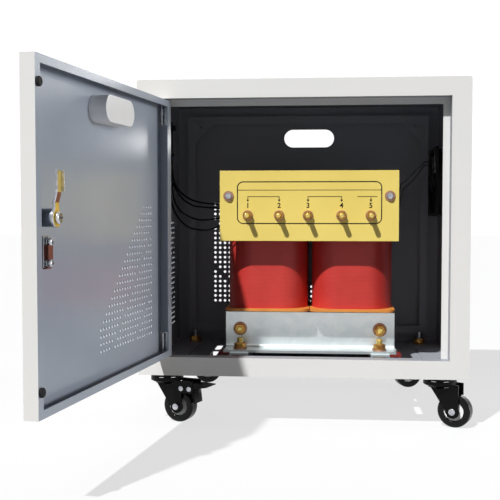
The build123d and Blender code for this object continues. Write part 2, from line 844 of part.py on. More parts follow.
# Transformer: through bolts with nuts and washers
lower_bolts = [(core_x + s * clamp_bolt_x, lower_bolt_z) for s in (-1, 1)]
upper_bolts = [(core_x + s * clamp_bolt_x, upper_bolt_z) for s in (-1, 1)]
lower_face = core_front - clamp_thickness
upper_face = lower_face - arm_thickness
rear_face = core_back + clamp_thickness
with BuildPart() as clamp_bolts:
    for places, seat in ((lower_bolts, lower_face), (upper_bolts, upper_face)):
        head_back = seat - washer_thickness
        with BuildSketch(front_plane(head_back - bolt_head)):
            hexagons(places, bolt_hex)
        extrude(amount=-bolt_head)
        with BuildSketch(front_plane(head_back)):
            discs(places, bolt_radius)
        extrude(amount=-(rear_face + washer_thickness + nut_height + bolt_past_nut - head_back))
clamp_bolts.part.label = "clamp_bolts"
export_step(clamp_bolts.part, "parts/clamp_bolts.step")

with BuildPart() as clamp_nuts:
    with BuildSketch(front_plane(rear_face + washer_thickness)):
        hexagons(lower_bolts + upper_bolts, bolt_hex)
        discs(lower_bolts + upper_bolts, bolt_radius, mode=Mode.SUBTRACT)
    extrude(amount=-nut_height)
clamp_nuts.part.label = "clamp_nuts"
export_step(clamp_nuts.part, "parts/clamp_nuts.step")

foot_top = clamp_foot_z + clamp_thickness
with BuildPart() as flat_washers:
    for places, seat in (
        (lower_bolts, lower_face - washer_thickness),
        (upper_bolts, upper_face - washer_thickness),
        (lower_bolts + upper_bolts, rear_face),
    ):
        with BuildSketch(front_plane(seat)):
            discs(places, washer_radius)
            discs(places, bolt_radius + bolt_fit, mode=Mode.SUBTRACT)
        extrude(amount=-washer_thickness)
    with BuildSketch(level_plane(foot_top)):
        discs(foot_bolts_at, washer_radius)
        discs(foot_bolts_at, bolt_radius + bolt_fit, mode=Mode.SUBTRACT)
    extrude(amount=washer_thickness)
flat_washers.part.label = "flat_washers"
export_step(flat_washers.part, "parts/flat_washers.step")

foot_nut_seat = foot_top + washer_thickness
rail_ceiling = clamp_foot_z - rail_wall
with BuildPart() as foot_bolts:
    with BuildSketch(level_plane(rail_ceiling - bolt_head)):
        hexagons(foot_bolts_at, bolt_hex)
    extrude(amount=bolt_head)
    with BuildSketch(level_plane(rail_ceiling)):
        discs(foot_bolts_at, bolt_radius)
    extrude(amount=foot_nut_seat + nut_height + foot_bolt_past_nut - rail_ceiling)
foot_bolts.part.label = "foot_bolts"
export_step(foot_bolts.part, "parts/foot_bolts.step")

with BuildPart() as foot_nuts:
    with BuildSketch(level_plane(foot_nut_seat)):
        hexagons(foot_bolts_at, bolt_hex)
        discs(foot_bolts_at, bolt_radius, mode=Mode.SUBTRACT)
    extrude(amount=nut_height)
foot_nuts.part.label = "foot_nuts"
export_step(foot_nuts.part, "parts/foot_nuts.step")

# Transformer: insulating blocks under the feet, beside the rails
with BuildPart() as edge_insulators:
    with BuildSketch(level_plane(clamp_foot_z - insulator_thickness)):
        for side in (-1, 1):
            near = core_x + side * (foot_bolt_x + rail_width / 2)
            far = near + side * insulator_reach
            for face, outward in clamp_sides.values():
                toe = face + outward * (clamp_thickness + clamp_flange)
                inner = toe - outward * insulator_depth
                block(min(near, far), max(near, far), min(toe, inner), max(toe, inner))
    extrude(amount=insulator_thickness)
edge_insulators.part.label = "edge_insulators"
export_step(edge_insulators.part, "parts/edge_insulators.step")

# Terminals: two strips that carry the board from the upper clamp
board_back = board_face + board_thickness
board_bolts_at = [(board_x + s * board_bolt_x, board_bolt_z) for s in (-1, 1)]
with BuildPart() as board_arms:
    for side in (-1, 1):
        outer = core_x + side * (arm_leg_out + arm_thickness)
        inner = outer - side * arm_thickness
        toe = outer - side * (arm_toe + arm_thickness)
        heel = outer - side * (arm_heel + arm_thickness)
        with BuildSketch(level_plane(arm_bottom)):
            block(min(outer, inner), max(outer, inner), board_back, lower_face)
            block(min(outer, toe), max(outer, toe), board_back, board_back + arm_thickness)
            block(min(outer, heel), max(outer, heel), upper_face, lower_face)
        extrude(amount=arm_top - arm_bottom)
    with BuildSketch(front_plane(upper_face)):
        discs(upper_bolts, bolt_radius + bolt_fit)
    extrude(amount=-arm_thickness, mode=Mode.SUBTRACT)
    with BuildSketch(front_plane(board_back)):
        discs(board_bolts_at, board_bolt_radius + stud_fit)
    extrude(amount=-arm_thickness, mode=Mode.SUBTRACT)
board_arms.part.label = "board_arms"
export_step(board_arms.part, "parts/board_arms.step")

studs_at = [(board_x + offset, terminal_z) for offset in terminal_offsets]
with BuildPart() as terminal_board:
    with BuildSketch(front_plane(board_face)):
        block(
            board_x - board_width / 2,
            board_x + board_width / 2,
            board_bottom,
            board_bottom + board_height,
        )
        discs(studs_at, stud_radius + stud_fit, mode=Mode.SUBTRACT)
        discs(board_bolts_at, board_bolt_radius + stud_fit, mode=Mode.SUBTRACT)
    extrude(amount=-board_thickness)
terminal_board.part.label = "terminal_board"
export_step(terminal_board.part, "parts/terminal_board.step")

board_nut_back = board_back + arm_thickness
with BuildPart() as board_bolts:
    with BuildSketch(front_plane(board_face - stud_washer - board_bolt_head)):
        hexagons(board_bolts_at, board_bolt_hex)
    extrude(amount=-board_bolt_head)
    with BuildSketch(front_plane(board_face - stud_washer)):
        discs(board_bolts_at, board_bolt_radius)
    extrude(amount=-(board_nut_back + board_nut_height - board_face + stud_washer))
    with BuildSketch(front_plane(board_nut_back)):
        hexagons(board_bolts_at, board_bolt_hex)
    extrude(amount=-board_nut_height)
board_bolts.part.label = "board_bolts"
export_step(board_bolts.part, "parts/board_bolts.step")

# Terminals: five studs with heads behind the board, washers and nuts before it
with BuildPart() as terminal_studs:
    with BuildSketch(front_plane(board_face - stud_reach)):
        discs(studs_at, stud_radius)
    extrude(amount=-(stud_reach - stud_washer - stud_nut_height))
    with BuildSketch(front_plane(board_face - stud_washer - stud_nut_height)):
        discs(studs_at, stud_root_radius)
    extrude(amount=-(stud_washer + stud_nut_height + board_thickness + stud_head + stud_tail))
    with BuildSketch(front_plane(board_back)):
        hexagons(studs_at, stud_hex)
    extrude(amount=-stud_head)
terminal_studs.part.label = "terminal_studs"
export_step(terminal_studs.part, "parts/terminal_studs.step")

with BuildPart() as terminal_washers:
    with BuildSketch(front_plane(board_face - stud_washer)):
        discs(studs_at, stud_washer_radius)
        discs(studs_at, stud_radius + stud_fit, mode=Mode.SUBTRACT)
        discs(board_bolts_at, stud_washer_radius)
        discs(board_bolts_at, board_bolt_radius + stud_fit, mode=Mode.SUBTRACT)
    extrude(amount=-stud_washer)
terminal_washers.part.label = "terminal_washers"
export_step(terminal_washers.part, "parts/terminal_washers.step")

with BuildPart() as terminal_nuts:
    with BuildSketch(front_plane(board_face - stud_washer - stud_nut_height)):
        hexagons(studs_at, stud_hex)
        discs(studs_at, stud_root_radius, mode=Mode.SUBTRACT)
    extrude(amount=-stud_nut_height)
terminal_nuts.part.label = "terminal_nuts"
export_step(terminal_nuts.part, "parts/terminal_nuts.step")

# Fan: square frame with end flanges, struts and motor seat on the wall side
fan_near = case_width - sheet - fan_depth
fan_screws = [
    (fan_y + s * fan_screw_pitch / 2, fan_z + t * fan_screw_pitch / 2) for s in (-1, 1) for t in (-1, 1)
]
with BuildPart() as fan_frame:
    for start in (fan_near, case_width - sheet - fan_flange):
        with BuildSketch(side_plane(start)):
            with Locations((fan_y, fan_z)):
                RectangleRounded(fan_size, fan_size, fan_corner)
            discs(fan_screws, fan_screw_radius, mode=Mode.SUBTRACT)
        extrude(amount=fan_flange)
    with BuildSketch(side_plane(fan_near)):
        discs([(fan_y, fan_z)], fan_body_radius)
    extrude(amount=fan_depth)
    with BuildSketch(side_plane(fan_near)):
        discs([(fan_y, fan_z)], fan_bore_radius)
    extrude(amount=fan_depth, mode=Mode.SUBTRACT)
    with BuildSketch(side_plane(case_width - sheet - fan_strut_thickness)):
        with Locations((fan_y, fan_z)):
            with PolarLocations(fan_bore_radius / 2, 4):
                Rectangle(fan_bore_radius + fan_flange, fan_strut_width)
            Circle(fan_motor_radius)
    extrude(amount=fan_strut_thickness)
    with BuildSketch(side_plane(fan_near + fan_depth / 2)):
        discs([(fan_y, fan_z)], fan_shaft_radius)
    extrude(amount=fan_depth / 2)
fan_frame.part.label = "fan_frame"
export_step(fan_frame.part, "parts/fan_frame.step")

# Fan: hub with seven pitched blades on the motor's shaft
fan_rotor_back = case_width - sheet - fan_strut_thickness - fan_shaft_gap
fan_rotor_front = fan_near + fan_shaft_gap
fan_centre = case_point((fan_rotor_back + fan_rotor_front) / 2, fan_y, fan_z)
with BuildPart() as fan_rotor:
    with BuildSketch(side_plane(fan_rotor_front)):
        discs([(fan_y, fan_z)], fan_hub_radius)
    extrude(amount=fan_rotor_back - fan_rotor_front)
    for index in range(fan_blade_count):
        turn = radians(360 * index / fan_blade_count)
        out = Vector(0, cos(turn), sin(turn))
        blade_root = Plane(origin=fan_centre + out * (fan_hub_radius - 1), x_dir=(1, 0, 0), z_dir=out)
        with BuildSketch(blade_root):
            Rectangle(fan_blade_chord, fan_blade_thickness, rotation=fan_blade_pitch)
        extrude(amount=fan_blade_tip - fan_hub_radius + 1)
    with BuildSketch(side_plane(fan_near + fan_depth / 2 - fan_shaft_gap)):
        discs([(fan_y, fan_z)], fan_shaft_radius + fan_shaft_gap)
    extrude(amount=fan_depth, mode=Mode.SUBTRACT)
fan_rotor.part.label = "fan_rotor"
export_step(fan_rotor.part, "parts/fan_rotor.step")

def bend_radii(points):
    """Radii of a lead's bends, each as large as its two runs allow."""
    radii = []
    for before, corner, after in zip(points, points[1:], points[2:]):
        half_turn = radians((corner - before).get_angle(after - corner)) / 2
        shorter = min((corner - before).length, (after - corner).length)
        radii.append(bend_share * shorter / tan(half_turn))
    return radii


def lead_line(places):
    """A lead's centre line in the open line: straight runs with tangent arcs."""
    points = [case_point(*place) for place in places]
    FilletPolyline(*points, radius=bend_radii(points))


def lead_start(places):
    """The plane square to a lead at its first place."""
    first, second = case_point(*places[0]), case_point(*places[1])
    return Plane(origin=first, z_dir=second - first)


# Leads from the coils to the tails of the studs
stud_x = [across for across, height in studs_at]
tail_end = board_back + stud_head + stud_tail
coil_front = core_y - coil_length / 2
coil_middle = coil_front + coil_radius
inner_corner = limb_places["left"] + coil_width / 2 - coil_radius
corner_reach = (coil_radius + lead_gap) / 2**0.5
winding_drop = 4.5
winding_routes = [
    [
        (across, tail_end, terminal_z),
        (across, tail_end + winding_drop, terminal_z),
        (across, coil_front - winding_drop - 1, terminal_z - winding_drop),
        (across, coil_front - lead_gap, terminal_z - winding_drop),
    ]
    for across in (stud_x[0], stud_x[1], stud_x[3], stud_x[4])
]
winding_routes.append(
    [
        (stud_x[2], tail_end, terminal_z),
        (stud_x[2], tail_end + winding_drop, terminal_z),
        (inner_corner + corner_reach + 9, coil_middle - corner_reach - 9, terminal_z - winding_drop),
        (inner_corner + corner_reach, coil_middle - corner_reach, terminal_z - winding_drop),
    ]
)
with BuildPart() as winding_leads:
    for route in winding_routes:
        with BuildLine() as lead_path:
            lead_line(route)
        with BuildSketch(lead_start(route)):
            Circle(winding_lead_radius)
        sweep(path=lead_path.wires()[0])
winding_leads.part.label = "winding_leads"
export_step(winding_leads.part, "parts/winding_leads.step")

# Leads from the first two studs to the left wall, up it in one bundle, with a tie and a clip
by_stud = stud_root_radius + lead_gap
harness_routes = [
    [
        (stud_x[1] - by_stud, lead_depth, 247.5),
        (188, lead_depth + 0.5, 251.6),
        (160, lead_depth, 253.6),
        (137, lead_depth + 2, 258),
        (113, 100, 262.5),
        (84, 148, 264.5),
        (57, 189, 269),
        (34, 224, 280),
        (15, 241, 299),
        (bundle_x + bundle_spread, bundle_y - bundle_spread, 332),
        (bundle_x + bundle_spread, bundle_y - bundle_spread, bundle_top),
    ],
    [
        (stud_x[0] - by_stud, lead_depth, 246.3),
        (138, lead_depth + 1, 251.5),
        (113, 100, 256),
        (84, 148, 257.5),
        (57, 191, 260),
        (36, 222, 270),
        (20, 242, 286),
        (bundle_x - bundle_spread, bundle_y - bundle_spread, 313),
        (bundle_x - bundle_spread, bundle_y - bundle_spread, bundle_top),
    ],
    [
        (stud_x[0] - by_stud, lead_depth, 242.7),
        (140, lead_depth + 1, 240.5),
        (113, 100, 240),
        (92, 135, 237),
        (70, 168, 236),
        (48, 203, 241),
        (27, 232, 251),
        (13, 249, 268),
        (bundle_x + bundle_spread, bundle_y + bundle_spread, 297),
        (bundle_x + bundle_spread, bundle_y + bundle_spread, bundle_top),
    ],
    [
        (stud_x[1] - by_stud, lead_depth, 241.5),
        (188, lead_depth, 237.4),
        (148, lead_depth + 0.5, 236),
        (113, 101, 227),
        (92, 135, 219.5),
        (70, 168, 219),
        (48, 203, 222),
        (29, 228, 233),
        (14, 247, 249),
        (bundle_x - bundle_spread, bundle_y + bundle_spread, 278),
        (bundle_x - bundle_spread, bundle_y + bundle_spread, bundle_top),
    ],
]
with BuildPart() as harness_leads:
    for route in harness_routes:
        with BuildLine() as lead_path:
            lead_line(route)
        with BuildSketch(lead_start(route)):
            Circle(lead_radius)
        sweep(path=lead_path.wires()[0])
    with BuildSketch(level_plane(tie_z)):
        discs([(bundle_x, bundle_y)], tie_bore + tie_wall)
        discs([(bundle_x, bundle_y)], tie_bore, mode=Mode.SUBTRACT)
    extrude(amount=tie_width)
    with BuildSketch(level_plane(clip_z)):
        block(sheet, sheet + clip_depth, bundle_y - clip_depth / 2, bundle_y + clip_depth / 2)
        discs([(bundle_x, bundle_y)], tie_bore, mode=Mode.SUBTRACT)
    extrude(amount=clip_height)
harness_leads.part.label = "harness_leads"
export_step(harness_leads.part, "parts/harness_leads.step")

# Thin leads from the fan to the last stud
thin_routes = [
    [
        (fan_near - lead_gap, 314, 341),
        (fan_near - 8, 314, 341),
        (455, 264, 331.5),
        (436, 203, 317),
        (420, 148, 304),
        (405, 100, 293.5),
        (402, 92, 275),
        (400.5, 91, 258),
        (384, lead_depth, 249),
        (stud_x[4] + by_stud, lead_depth, 246.2),
    ],
    [
        (fan_near - lead_gap, 317, 335),
        (fan_near - 8, 317, 335),
        (455, 266, 324.5),
        (438, 204, 308),
        (423, 149, 296),
        (409, 101, 287),
        (405.5, 92, 270),
        (402, 91, 252),
        (384, lead_depth, 243.5),
        (stud_x[4] + by_stud, lead_depth, 242.8),
    ],
]
with BuildPart() as fan_leads:
    for route in thin_routes:
        with BuildLine() as lead_path:
            lead_line(route)
        with BuildSketch(lead_start(route)):
            Circle(thin_lead_radius)
        sweep(path=lead_path.wires()[0])
fan_leads.part.label = "fan_leads"
export_step(fan_leads.part, "parts/fan_leads.step")

lead_routes = {"winding": winding_routes, "harness": harness_routes, "fan": thin_routes}
for kind, routes in lead_routes.items():
    for route in routes:
        points = [case_point(*place) for place in route]
        print(kind, "lead bends", [round(radius, 1) for radius in bend_radii(points)])

# Casters: stem with its swivel plate and king pin, bolted through the floor
plate_low = -stem_plate_thickness
pin_head_top = crown_bottom - caster_height - swivel_gap
with BuildPart() as caster_stems:
    with BuildSketch(level_plane(pin_head_top - king_pin_head)):
        discs(caster_places, king_pin_head_radius)
    extrude(amount=king_pin_head)
    with BuildSketch(level_plane(pin_head_top)):
        discs(caster_places, king_pin_radius)
    extrude(amount=plate_low - pin_head_top)
    with BuildSketch(level_plane(plate_low)):
        discs(caster_places, stem_plate_radius)
    extrude(amount=stem_plate_thickness)
    with BuildSketch(level_plane(0)):
        discs(caster_places, stem_radius)
    extrude(amount=2 * sheet + stem_washer + stem_nut_height + stem_past_nut)
caster_stems.part.label = "caster_stems"
export_step(caster_stems.part, "parts/caster_stems.step")

with BuildPart() as caster_nuts:
    with BuildSketch(level_plane(2 * sheet)):
        discs(caster_places, stem_washer_radius)
        discs(caster_places, stem_radius, mode=Mode.SUBTRACT)
    extrude(amount=stem_washer)
    with BuildSketch(level_plane(2 * sheet + stem_washer)):
        hexagons(caster_places, stem_nut_hex)
        discs(caster_places, stem_radius, mode=Mode.SUBTRACT)
    extrude(amount=stem_nut_height)
caster_nuts.part.label = "caster_nuts"
export_step(caster_nuts.part, "parts/caster_nuts.step")


def caster_frame(place, turn_deg):
    """How a caster stands: its axle runs along local z, it trails along local x and local y is up."""
    turn = radians(turn_deg)
    trail = Vector(cos(turn), sin(turn), 0)
    origin = Vector(case_left + place[0], case_front + place[1], 0)
    return Plane(origin=origin, x_dir=trail, z_dir=trail.cross(Vector(0, 0, 1)))


def two_sides(inner, thickness):
    """Where the two slabs on either side of the wheel start, and how far they go."""
    return ((inner, thickness), (-inner, -thickness))


cheek_inner = wheel_width / 2 + cheek_gap
cheek_outer = cheek_inner + cheek_thickness
pedal_half = cheek_inner - pedal_gap
crown_top = caster_height - stem_plate_thickness - swivel_gap
for name, place, turn_deg in zip(caster_names, caster_places, caster_turns):
    braked = name in braked_casters
    frame = caster_frame(place, turn_deg)
    upright = Plane(origin=frame.origin, x_dir=frame.x_dir, z_dir=(0, 0, 1))
    axle_at = (wheel_trail, wheel_radius)

    # The fork: a pressed crown with two cheeks
    with BuildPart() as caster_fork:
        with BuildSketch(Plane(origin=frame.origin, x_dir=frame.x_dir, z_dir=frame.z_dir)):
            with BuildLine():
                Polyline(
                    (king_pin_radius + swivel_gap, crown_bottom),
                    (crown_foot_radius, crown_bottom),
                    (crown_radius, crown_bottom + crown_foot_radius / 2),
                    (crown_radius, crown_top),
                    (crown_radius - crown_wall, crown_top),
                    (crown_radius - crown_wall, crown_bottom + crown_foot_radius / 2 + crown_wall / 2),
                    (crown_foot_radius, crown_bottom + crown_wall),
                    (king_pin_radius + swivel_gap, crown_bottom + crown_wall),
                    close=True,
                )
            make_face()
        revolve(axis=Axis(upright.origin, (0, 0, 1)))
        for start, thickness in two_sides(cheek_inner, cheek_thickness):
            with BuildSketch(frame.offset(start)):
                with BuildLine():
                    Polyline(
                        (cheek_lead, cheek_top_z),
                        (cheek_lead, cheek_lead_z),
                        (wheel_trail - cheek_end_radius, wheel_radius),
                        (cheek_rear, wheel_radius),
                        (cheek_rear, cheek_top_z),
                        close=True,
                    )
                make_face()
                if braked:
                    block(wheel_trail, brake_cheek_rear, brake_cheek_bottom, cheek_top_z)
                discs([axle_at], cheek_end_radius)
                discs([axle_at], axle_radius, mode=Mode.SUBTRACT)
                if braked:
                    discs([(brake_pin_t, brake_pin_z)], brake_pin_radius, mode=Mode.SUBTRACT)
            extrude(amount=thickness)
        with BuildSketch(upright.offset(crown_bottom + crown_wall)):
            Circle(crown_radius - crown_wall)
        extrude(amount=crown_top - crown_bottom, mode=Mode.SUBTRACT)
    caster_fork.part.label = f"caster_fork_{name}"
    export_step(caster_fork.part, f"parts/caster_fork_{name}.step")

    # The wheel: a hub with recessed faces, and its tyre
    with BuildPart() as caster_wheel:
        with BuildSketch(frame.offset(-wheel_width / 2 + hub_recess)):
            discs([axle_at], tyre_bore_radius)
        extrude(amount=wheel_width - 2 * hub_recess)
        with BuildSketch(frame.offset(-wheel_width / 2)):
            discs([axle_at], hub_boss_radius)
        extrude(amount=wheel_width)
        with BuildSketch(frame.offset(-wheel_width / 2)):
            discs([axle_at], axle_radius + axle_fit)
        extrude(amount=wheel_width, mode=Mode.SUBTRACT)
    caster_wheel.part.label = f"caster_wheel_{name}"
    export_step(caster_wheel.part, f"parts/caster_wheel_{name}.step")

    with BuildPart() as caster_tyre:
        with BuildSketch(frame.offset(-wheel_width / 2)):
            discs([axle_at], wheel_radius)
            discs([axle_at], tyre_bore_radius, mode=Mode.SUBTRACT)
        extrude(amount=wheel_width)
        rims = caster_tyre.edges().filter_by(GeomType.CIRCLE).sort_by(SortBy.RADIUS)[-2:]
        chamfer(rims, tyre_edge)
    caster_tyre.part.label = f"caster_tyre_{name}"
    export_step(caster_tyre.part, f"parts/caster_tyre_{name}.step")

    # The axle with a head at each end, and on a braked caster the pedal's pin and rivet heads
    with BuildPart() as caster_axle:
        with BuildSketch(frame.offset(-cheek_outer)):
            discs([axle_at], axle_radius)
        extrude(amount=2 * cheek_outer)
        for start, thickness in two_sides(cheek_outer, axle_head):
            with BuildSketch(frame.offset(start)):
                discs([axle_at], axle_head_radius)
            extrude(amount=thickness)
            if braked:
                with BuildSketch(frame.offset(start)):
                    discs([(brake_pin_t, brake_pin_z), (brake_rivet_t, brake_pin_z)], axle_radius)
                extrude(amount=thickness / 2)
        if braked:
            with BuildSketch(frame.offset(-cheek_outer)):
                discs([(brake_pin_t, brake_pin_z)], brake_pin_radius)
            extrude(amount=2 * cheek_outer)
    caster_axle.part.label = f"caster_axle_{name}"
    export_step(caster_axle.part, f"parts/caster_axle_{name}.step")

    # The pedal: tread above, release tongue below, both from one boss on the pin
    if braked:
        pin_at = (brake_pin_t, brake_pin_z)
        with BuildPart() as brake_pedal:
            with BuildSketch(frame.offset(-pedal_half)):
                discs([pin_at], brake_boss_radius)
                with BuildLine():
                    Polyline(
                        (brake_pin_t - brake_boss_radius, brake_pin_z),
                        (brake_pin_t - brake_boss_radius, pedal_tip_z),
                        (brake_cheek_rear + 1, pedal_tip_z + 1),
                        (brake_cheek_rear + 1, brake_pin_z),
                        (release_tip_t + 2, release_tip_z),
                        (release_tip_t - 1, release_tip_z),
                        (brake_cheek_rear - 2, brake_pin_z - brake_boss_radius),
                        close=True,
                    )
                make_face()
                discs([pin_at], brake_pin_radius + pedal_gap, mode=Mode.SUBTRACT)
            extrude(amount=2 * pedal_half)
            with BuildSketch(frame.offset(-pedal_width / 2)):
                with BuildLine():
                    Polyline(
                        (brake_cheek_rear + 1, pedal_tip_z + 1),
                        (pedal_tip_t, pedal_tip_z),
                        (pedal_tip_t, pedal_tip_z - pedal_thickness / 2),
                        (brake_cheek_rear + 1, pedal_tip_z - pedal_thickness * 2),
                        close=True,
                    )
                make_face()
            extrude(amount=pedal_width)
        brake_pedal.part.label = f"brake_pedal_{name}"
        export_step(brake_pedal.part, f"parts/brake_pedal_{name}.step")
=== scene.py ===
"""Looks of the isolation transformer: finishes, vents, print, fasteners, lock and casters."""
import json
import logging
import math
from dataclasses import dataclass, field
from enum import Enum
from typing import Callable, Iterable, Sequence

import bpy
from mathutils import Matrix, Vector


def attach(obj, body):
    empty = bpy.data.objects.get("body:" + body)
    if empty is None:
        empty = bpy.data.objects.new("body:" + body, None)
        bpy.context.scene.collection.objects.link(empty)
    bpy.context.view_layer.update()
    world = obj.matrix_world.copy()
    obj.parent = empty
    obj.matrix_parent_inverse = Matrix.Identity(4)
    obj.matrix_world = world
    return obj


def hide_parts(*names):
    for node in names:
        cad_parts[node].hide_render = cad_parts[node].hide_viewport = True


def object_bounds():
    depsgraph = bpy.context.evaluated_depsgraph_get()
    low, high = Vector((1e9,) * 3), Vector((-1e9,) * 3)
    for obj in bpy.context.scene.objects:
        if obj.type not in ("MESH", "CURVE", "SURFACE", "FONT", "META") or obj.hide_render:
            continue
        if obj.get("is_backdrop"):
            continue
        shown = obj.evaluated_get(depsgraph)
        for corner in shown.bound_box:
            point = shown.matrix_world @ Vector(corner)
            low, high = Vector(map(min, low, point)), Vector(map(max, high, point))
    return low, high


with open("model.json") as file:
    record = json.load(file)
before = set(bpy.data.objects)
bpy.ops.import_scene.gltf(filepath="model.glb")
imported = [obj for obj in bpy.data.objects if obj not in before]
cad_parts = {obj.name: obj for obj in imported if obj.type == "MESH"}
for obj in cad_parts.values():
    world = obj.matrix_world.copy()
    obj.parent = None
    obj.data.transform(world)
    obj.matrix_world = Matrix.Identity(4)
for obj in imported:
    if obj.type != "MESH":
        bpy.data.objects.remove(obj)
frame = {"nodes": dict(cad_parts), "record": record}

NODES = frame["nodes"]
RECORD = frame["record"]
LOG = logging.getLogger("transformer")
MM = 0.001
HALF_SHEET = 0.75

# Where the case's lower front left corner lies in the row frame, in millimetres.
CASE_CORNER = Vector((-238.07, 23.61, 77.0))

# The door's hinge line in the case, and how far the door is open, in degrees.
HINGE = Vector((37.5, 5.5, 0))
DOOR_ANGLE = 98.8

# Sharp and flat edges, in degrees, and how far apart doubled corners may lie, in metres.
SHARP_ANGLE = 35.0
FLAT_ANGLE = 0.5
DOUBLES = 2e-6

# The least part of a face's normal along a way for the face to look that way, or roughly so.
SQUARE = 0.99
ROUGHLY = 0.9

FRONT = Vector((0, -1, 0))
UPRIGHT = Matrix.Rotation(math.radians(90), 4, "X")

Colour = tuple[float, float, float]
Socket = bpy.types.NodeSocket
Test = Callable[[Vector, Vector], bool]


def case_at(across: float, depth: float, height: float) -> Vector:
    """Gives the row frame's point, in metres, of a place in the case, in millimetres."""
    return (CASE_CORNER + Vector((across, depth, height))) * MM


@dataclass(frozen=True)
class Stand:
    """A place and three ways to measure from it, such as the open door's.

    Args:
        origin: the place, in the case's millimetres.
        right, inward, up: unit directions of the three measures.
    """

    origin: Vector
    right: Vector
    inward: Vector
    up: Vector = field(default_factory=lambda: Vector((0, 0, 1)))

    def at(self, across: float, depth: float, height: float) -> Vector:
        """Gives the row frame's point, in metres, of a place measured from here."""
        place = self.origin + self.right * across + self.inward * depth + self.up * height
        return (CASE_CORNER + place) * MM

    def turn(self) -> Matrix:
        """Gives the rotation that takes X, Y and Z to the three ways."""
        return Matrix((self.right, self.inward, self.up)).transposed().to_4x4()


def open_door() -> Stand:
    """Works out the open door's stand.

    Returns:
        The stand in which a place on the open door has the closed door's measures.
    """
    turn = math.radians(DOOR_ANGLE)
    along = Vector((math.cos(turn), -math.sin(turn), 0))
    inward = Vector((math.sin(turn), math.cos(turn), 0))
    return Stand(HINGE - along * HINGE.x - inward * HINGE.y, along, inward)


CASE = Stand(Vector((0, 0, 0)), Vector((1, 0, 0)), Vector((0, 1, 0)))
DOOR = open_door()


def srgb(red: int, green: int, blue: int) -> Colour:
    """Turns a colour as seen on a screen into the linear one that shaders take.

    Args:
        red, green, blue: from 0 to 255.

    Returns:
        The linear colour, from 0 to 1.
    """
    parts = [c / 255 for c in (red, green, blue)]
    return tuple(c / 12.92 if c <= 0.04045 else ((c + 0.055) / 1.055) ** 2.4 for c in parts)


# Shared shader groups


class Recipe:
    """A small hand for building shader nodes in a tree."""

    def __init__(self, tree: bpy.types.NodeTree) -> None:
        """Keeps the tree and empties it."""
        self.tree = tree
        tree.nodes.clear()

    def add(self, kind: str, **inputs: object) -> bpy.types.Node:
        """Adds a node.

        Args:
            kind: the node's type without ShaderNode in front.
            inputs: values or sockets for its inputs, by name, with underscores for spaces.

        Returns:
            The new node.
        """
        node = self.tree.nodes.new("ShaderNode" + kind)
        for name, value in inputs.items():
            self.feed(node, name.replace("_", " "), value)
        return node

    def feed(self, node: bpy.types.Node, name: str | int, value: object) -> None:
        """Sets one input of a node.

        Args:
            node: the node.
            name: the input's name or number.
            value: a value or a colour for it, or the socket that is linked to it.
        """
        socket = node.inputs[name]
        if isinstance(value, Socket):
            self.tree.links.new(value, socket)
        elif isinstance(value, tuple) and len(value) == 3 and socket.type == "RGBA":
            socket.default_value = (*value, 1.0)
        else:
            socket.default_value = value

    def reckon(self, operation: str, *values: object) -> Socket:
        """Adds a math node.

        Args:
            operation: the node's operation.
            values: the values or sockets that it works on.

        Returns:
            The result's socket.
        """
        node = self.add("Math")
        node.operation = operation
        for number, value in enumerate(values):
            self.feed(node, number, value)
        return node.outputs[0]

    def blend(self, factor: object, first: object, second: object) -> Socket:
        """Mixes two colours.

        Args:
            factor: how much of the second colour is taken, from 0 to 1.
            first, second: the colours.

        Returns:
            The mixed colour's socket.
        """
        node = self.add("Mix")
        node.data_type = "RGBA"
        # A mix of colours takes them from inputs 6 and 7 and gives its result at output 2.
        for number, value in ((0, factor), (6, first), (7, second)):
            self.feed(node, number, value)
        return node.outputs[2]

    def spread(self, value: object, start: Sequence[float], end: Sequence[float]) -> Socket:
        """Maps a value from one range to another.

        Args:
            value: the value.
            start, end: the lowest and highest number of each range.

        Returns:
            The result's socket.
        """
        (low, high), (to_low, to_high) = start, end
        ranges = dict(From_Min=low, From_Max=high, To_Min=to_low, To_Max=to_high)
        return self.add("MapRange", Value=value, **ranges).outputs[0]


GroupParts = tuple[bpy.types.NodeTree, Recipe, dict[str, Socket], bpy.types.Node]


def new_group(name: str, ins: dict[str, str], outs: dict[str, str]) -> GroupParts:
    """Starts a shader node group.

    Args:
        name: the group's name.
        ins, outs: its sockets by name, each with its kind: Float, Vector or Color.

    Returns:
        The group, a hand for its nodes, its input sockets by name and its output node.
    """
    group = bpy.data.node_groups.new(name, "ShaderNodeTree")
    for sockets, way in ((ins, "INPUT"), (outs, "OUTPUT")):
        for label, kind in sockets.items():
            group.interface.new_socket(name=label, in_out=way, socket_type="NodeSocket" + kind)
    recipe = Recipe(group)
    source = group.nodes.new("NodeGroupInput")
    given = {socket.name: socket for socket in source.outputs if socket.name}
    return group, recipe, given, group.nodes.new("NodeGroupOutput")


def mottle_group() -> bpy.types.NodeTree:
    """Makes the group that shades one colour towards another in soft clouds.

    Returns:
        The group.
    """
    ins = dict(Vector="Vector", Scale="Float", Colour="Color", Second="Color", Amount="Float")
    outs = dict(Colour="Color", Cloud="Float")
    group, recipe, given, result = new_group("Mottle", ins, outs)
    values = dict(Scale=given["Scale"], Detail=4.0, Roughness=0.55)
    noise = recipe.add("TexNoise", Vector=given["Vector"], **values)
    cloud = recipe.spread(noise.outputs["Fac"], (0.35, 0.65), (0.0, 1.0))
    factor = recipe.reckon("MULTIPLY", cloud, given["Amount"])
    recipe.feed(result, "Colour", recipe.blend(factor, given["Colour"], given["Second"]))
    recipe.feed(result, "Cloud", cloud)
    return group


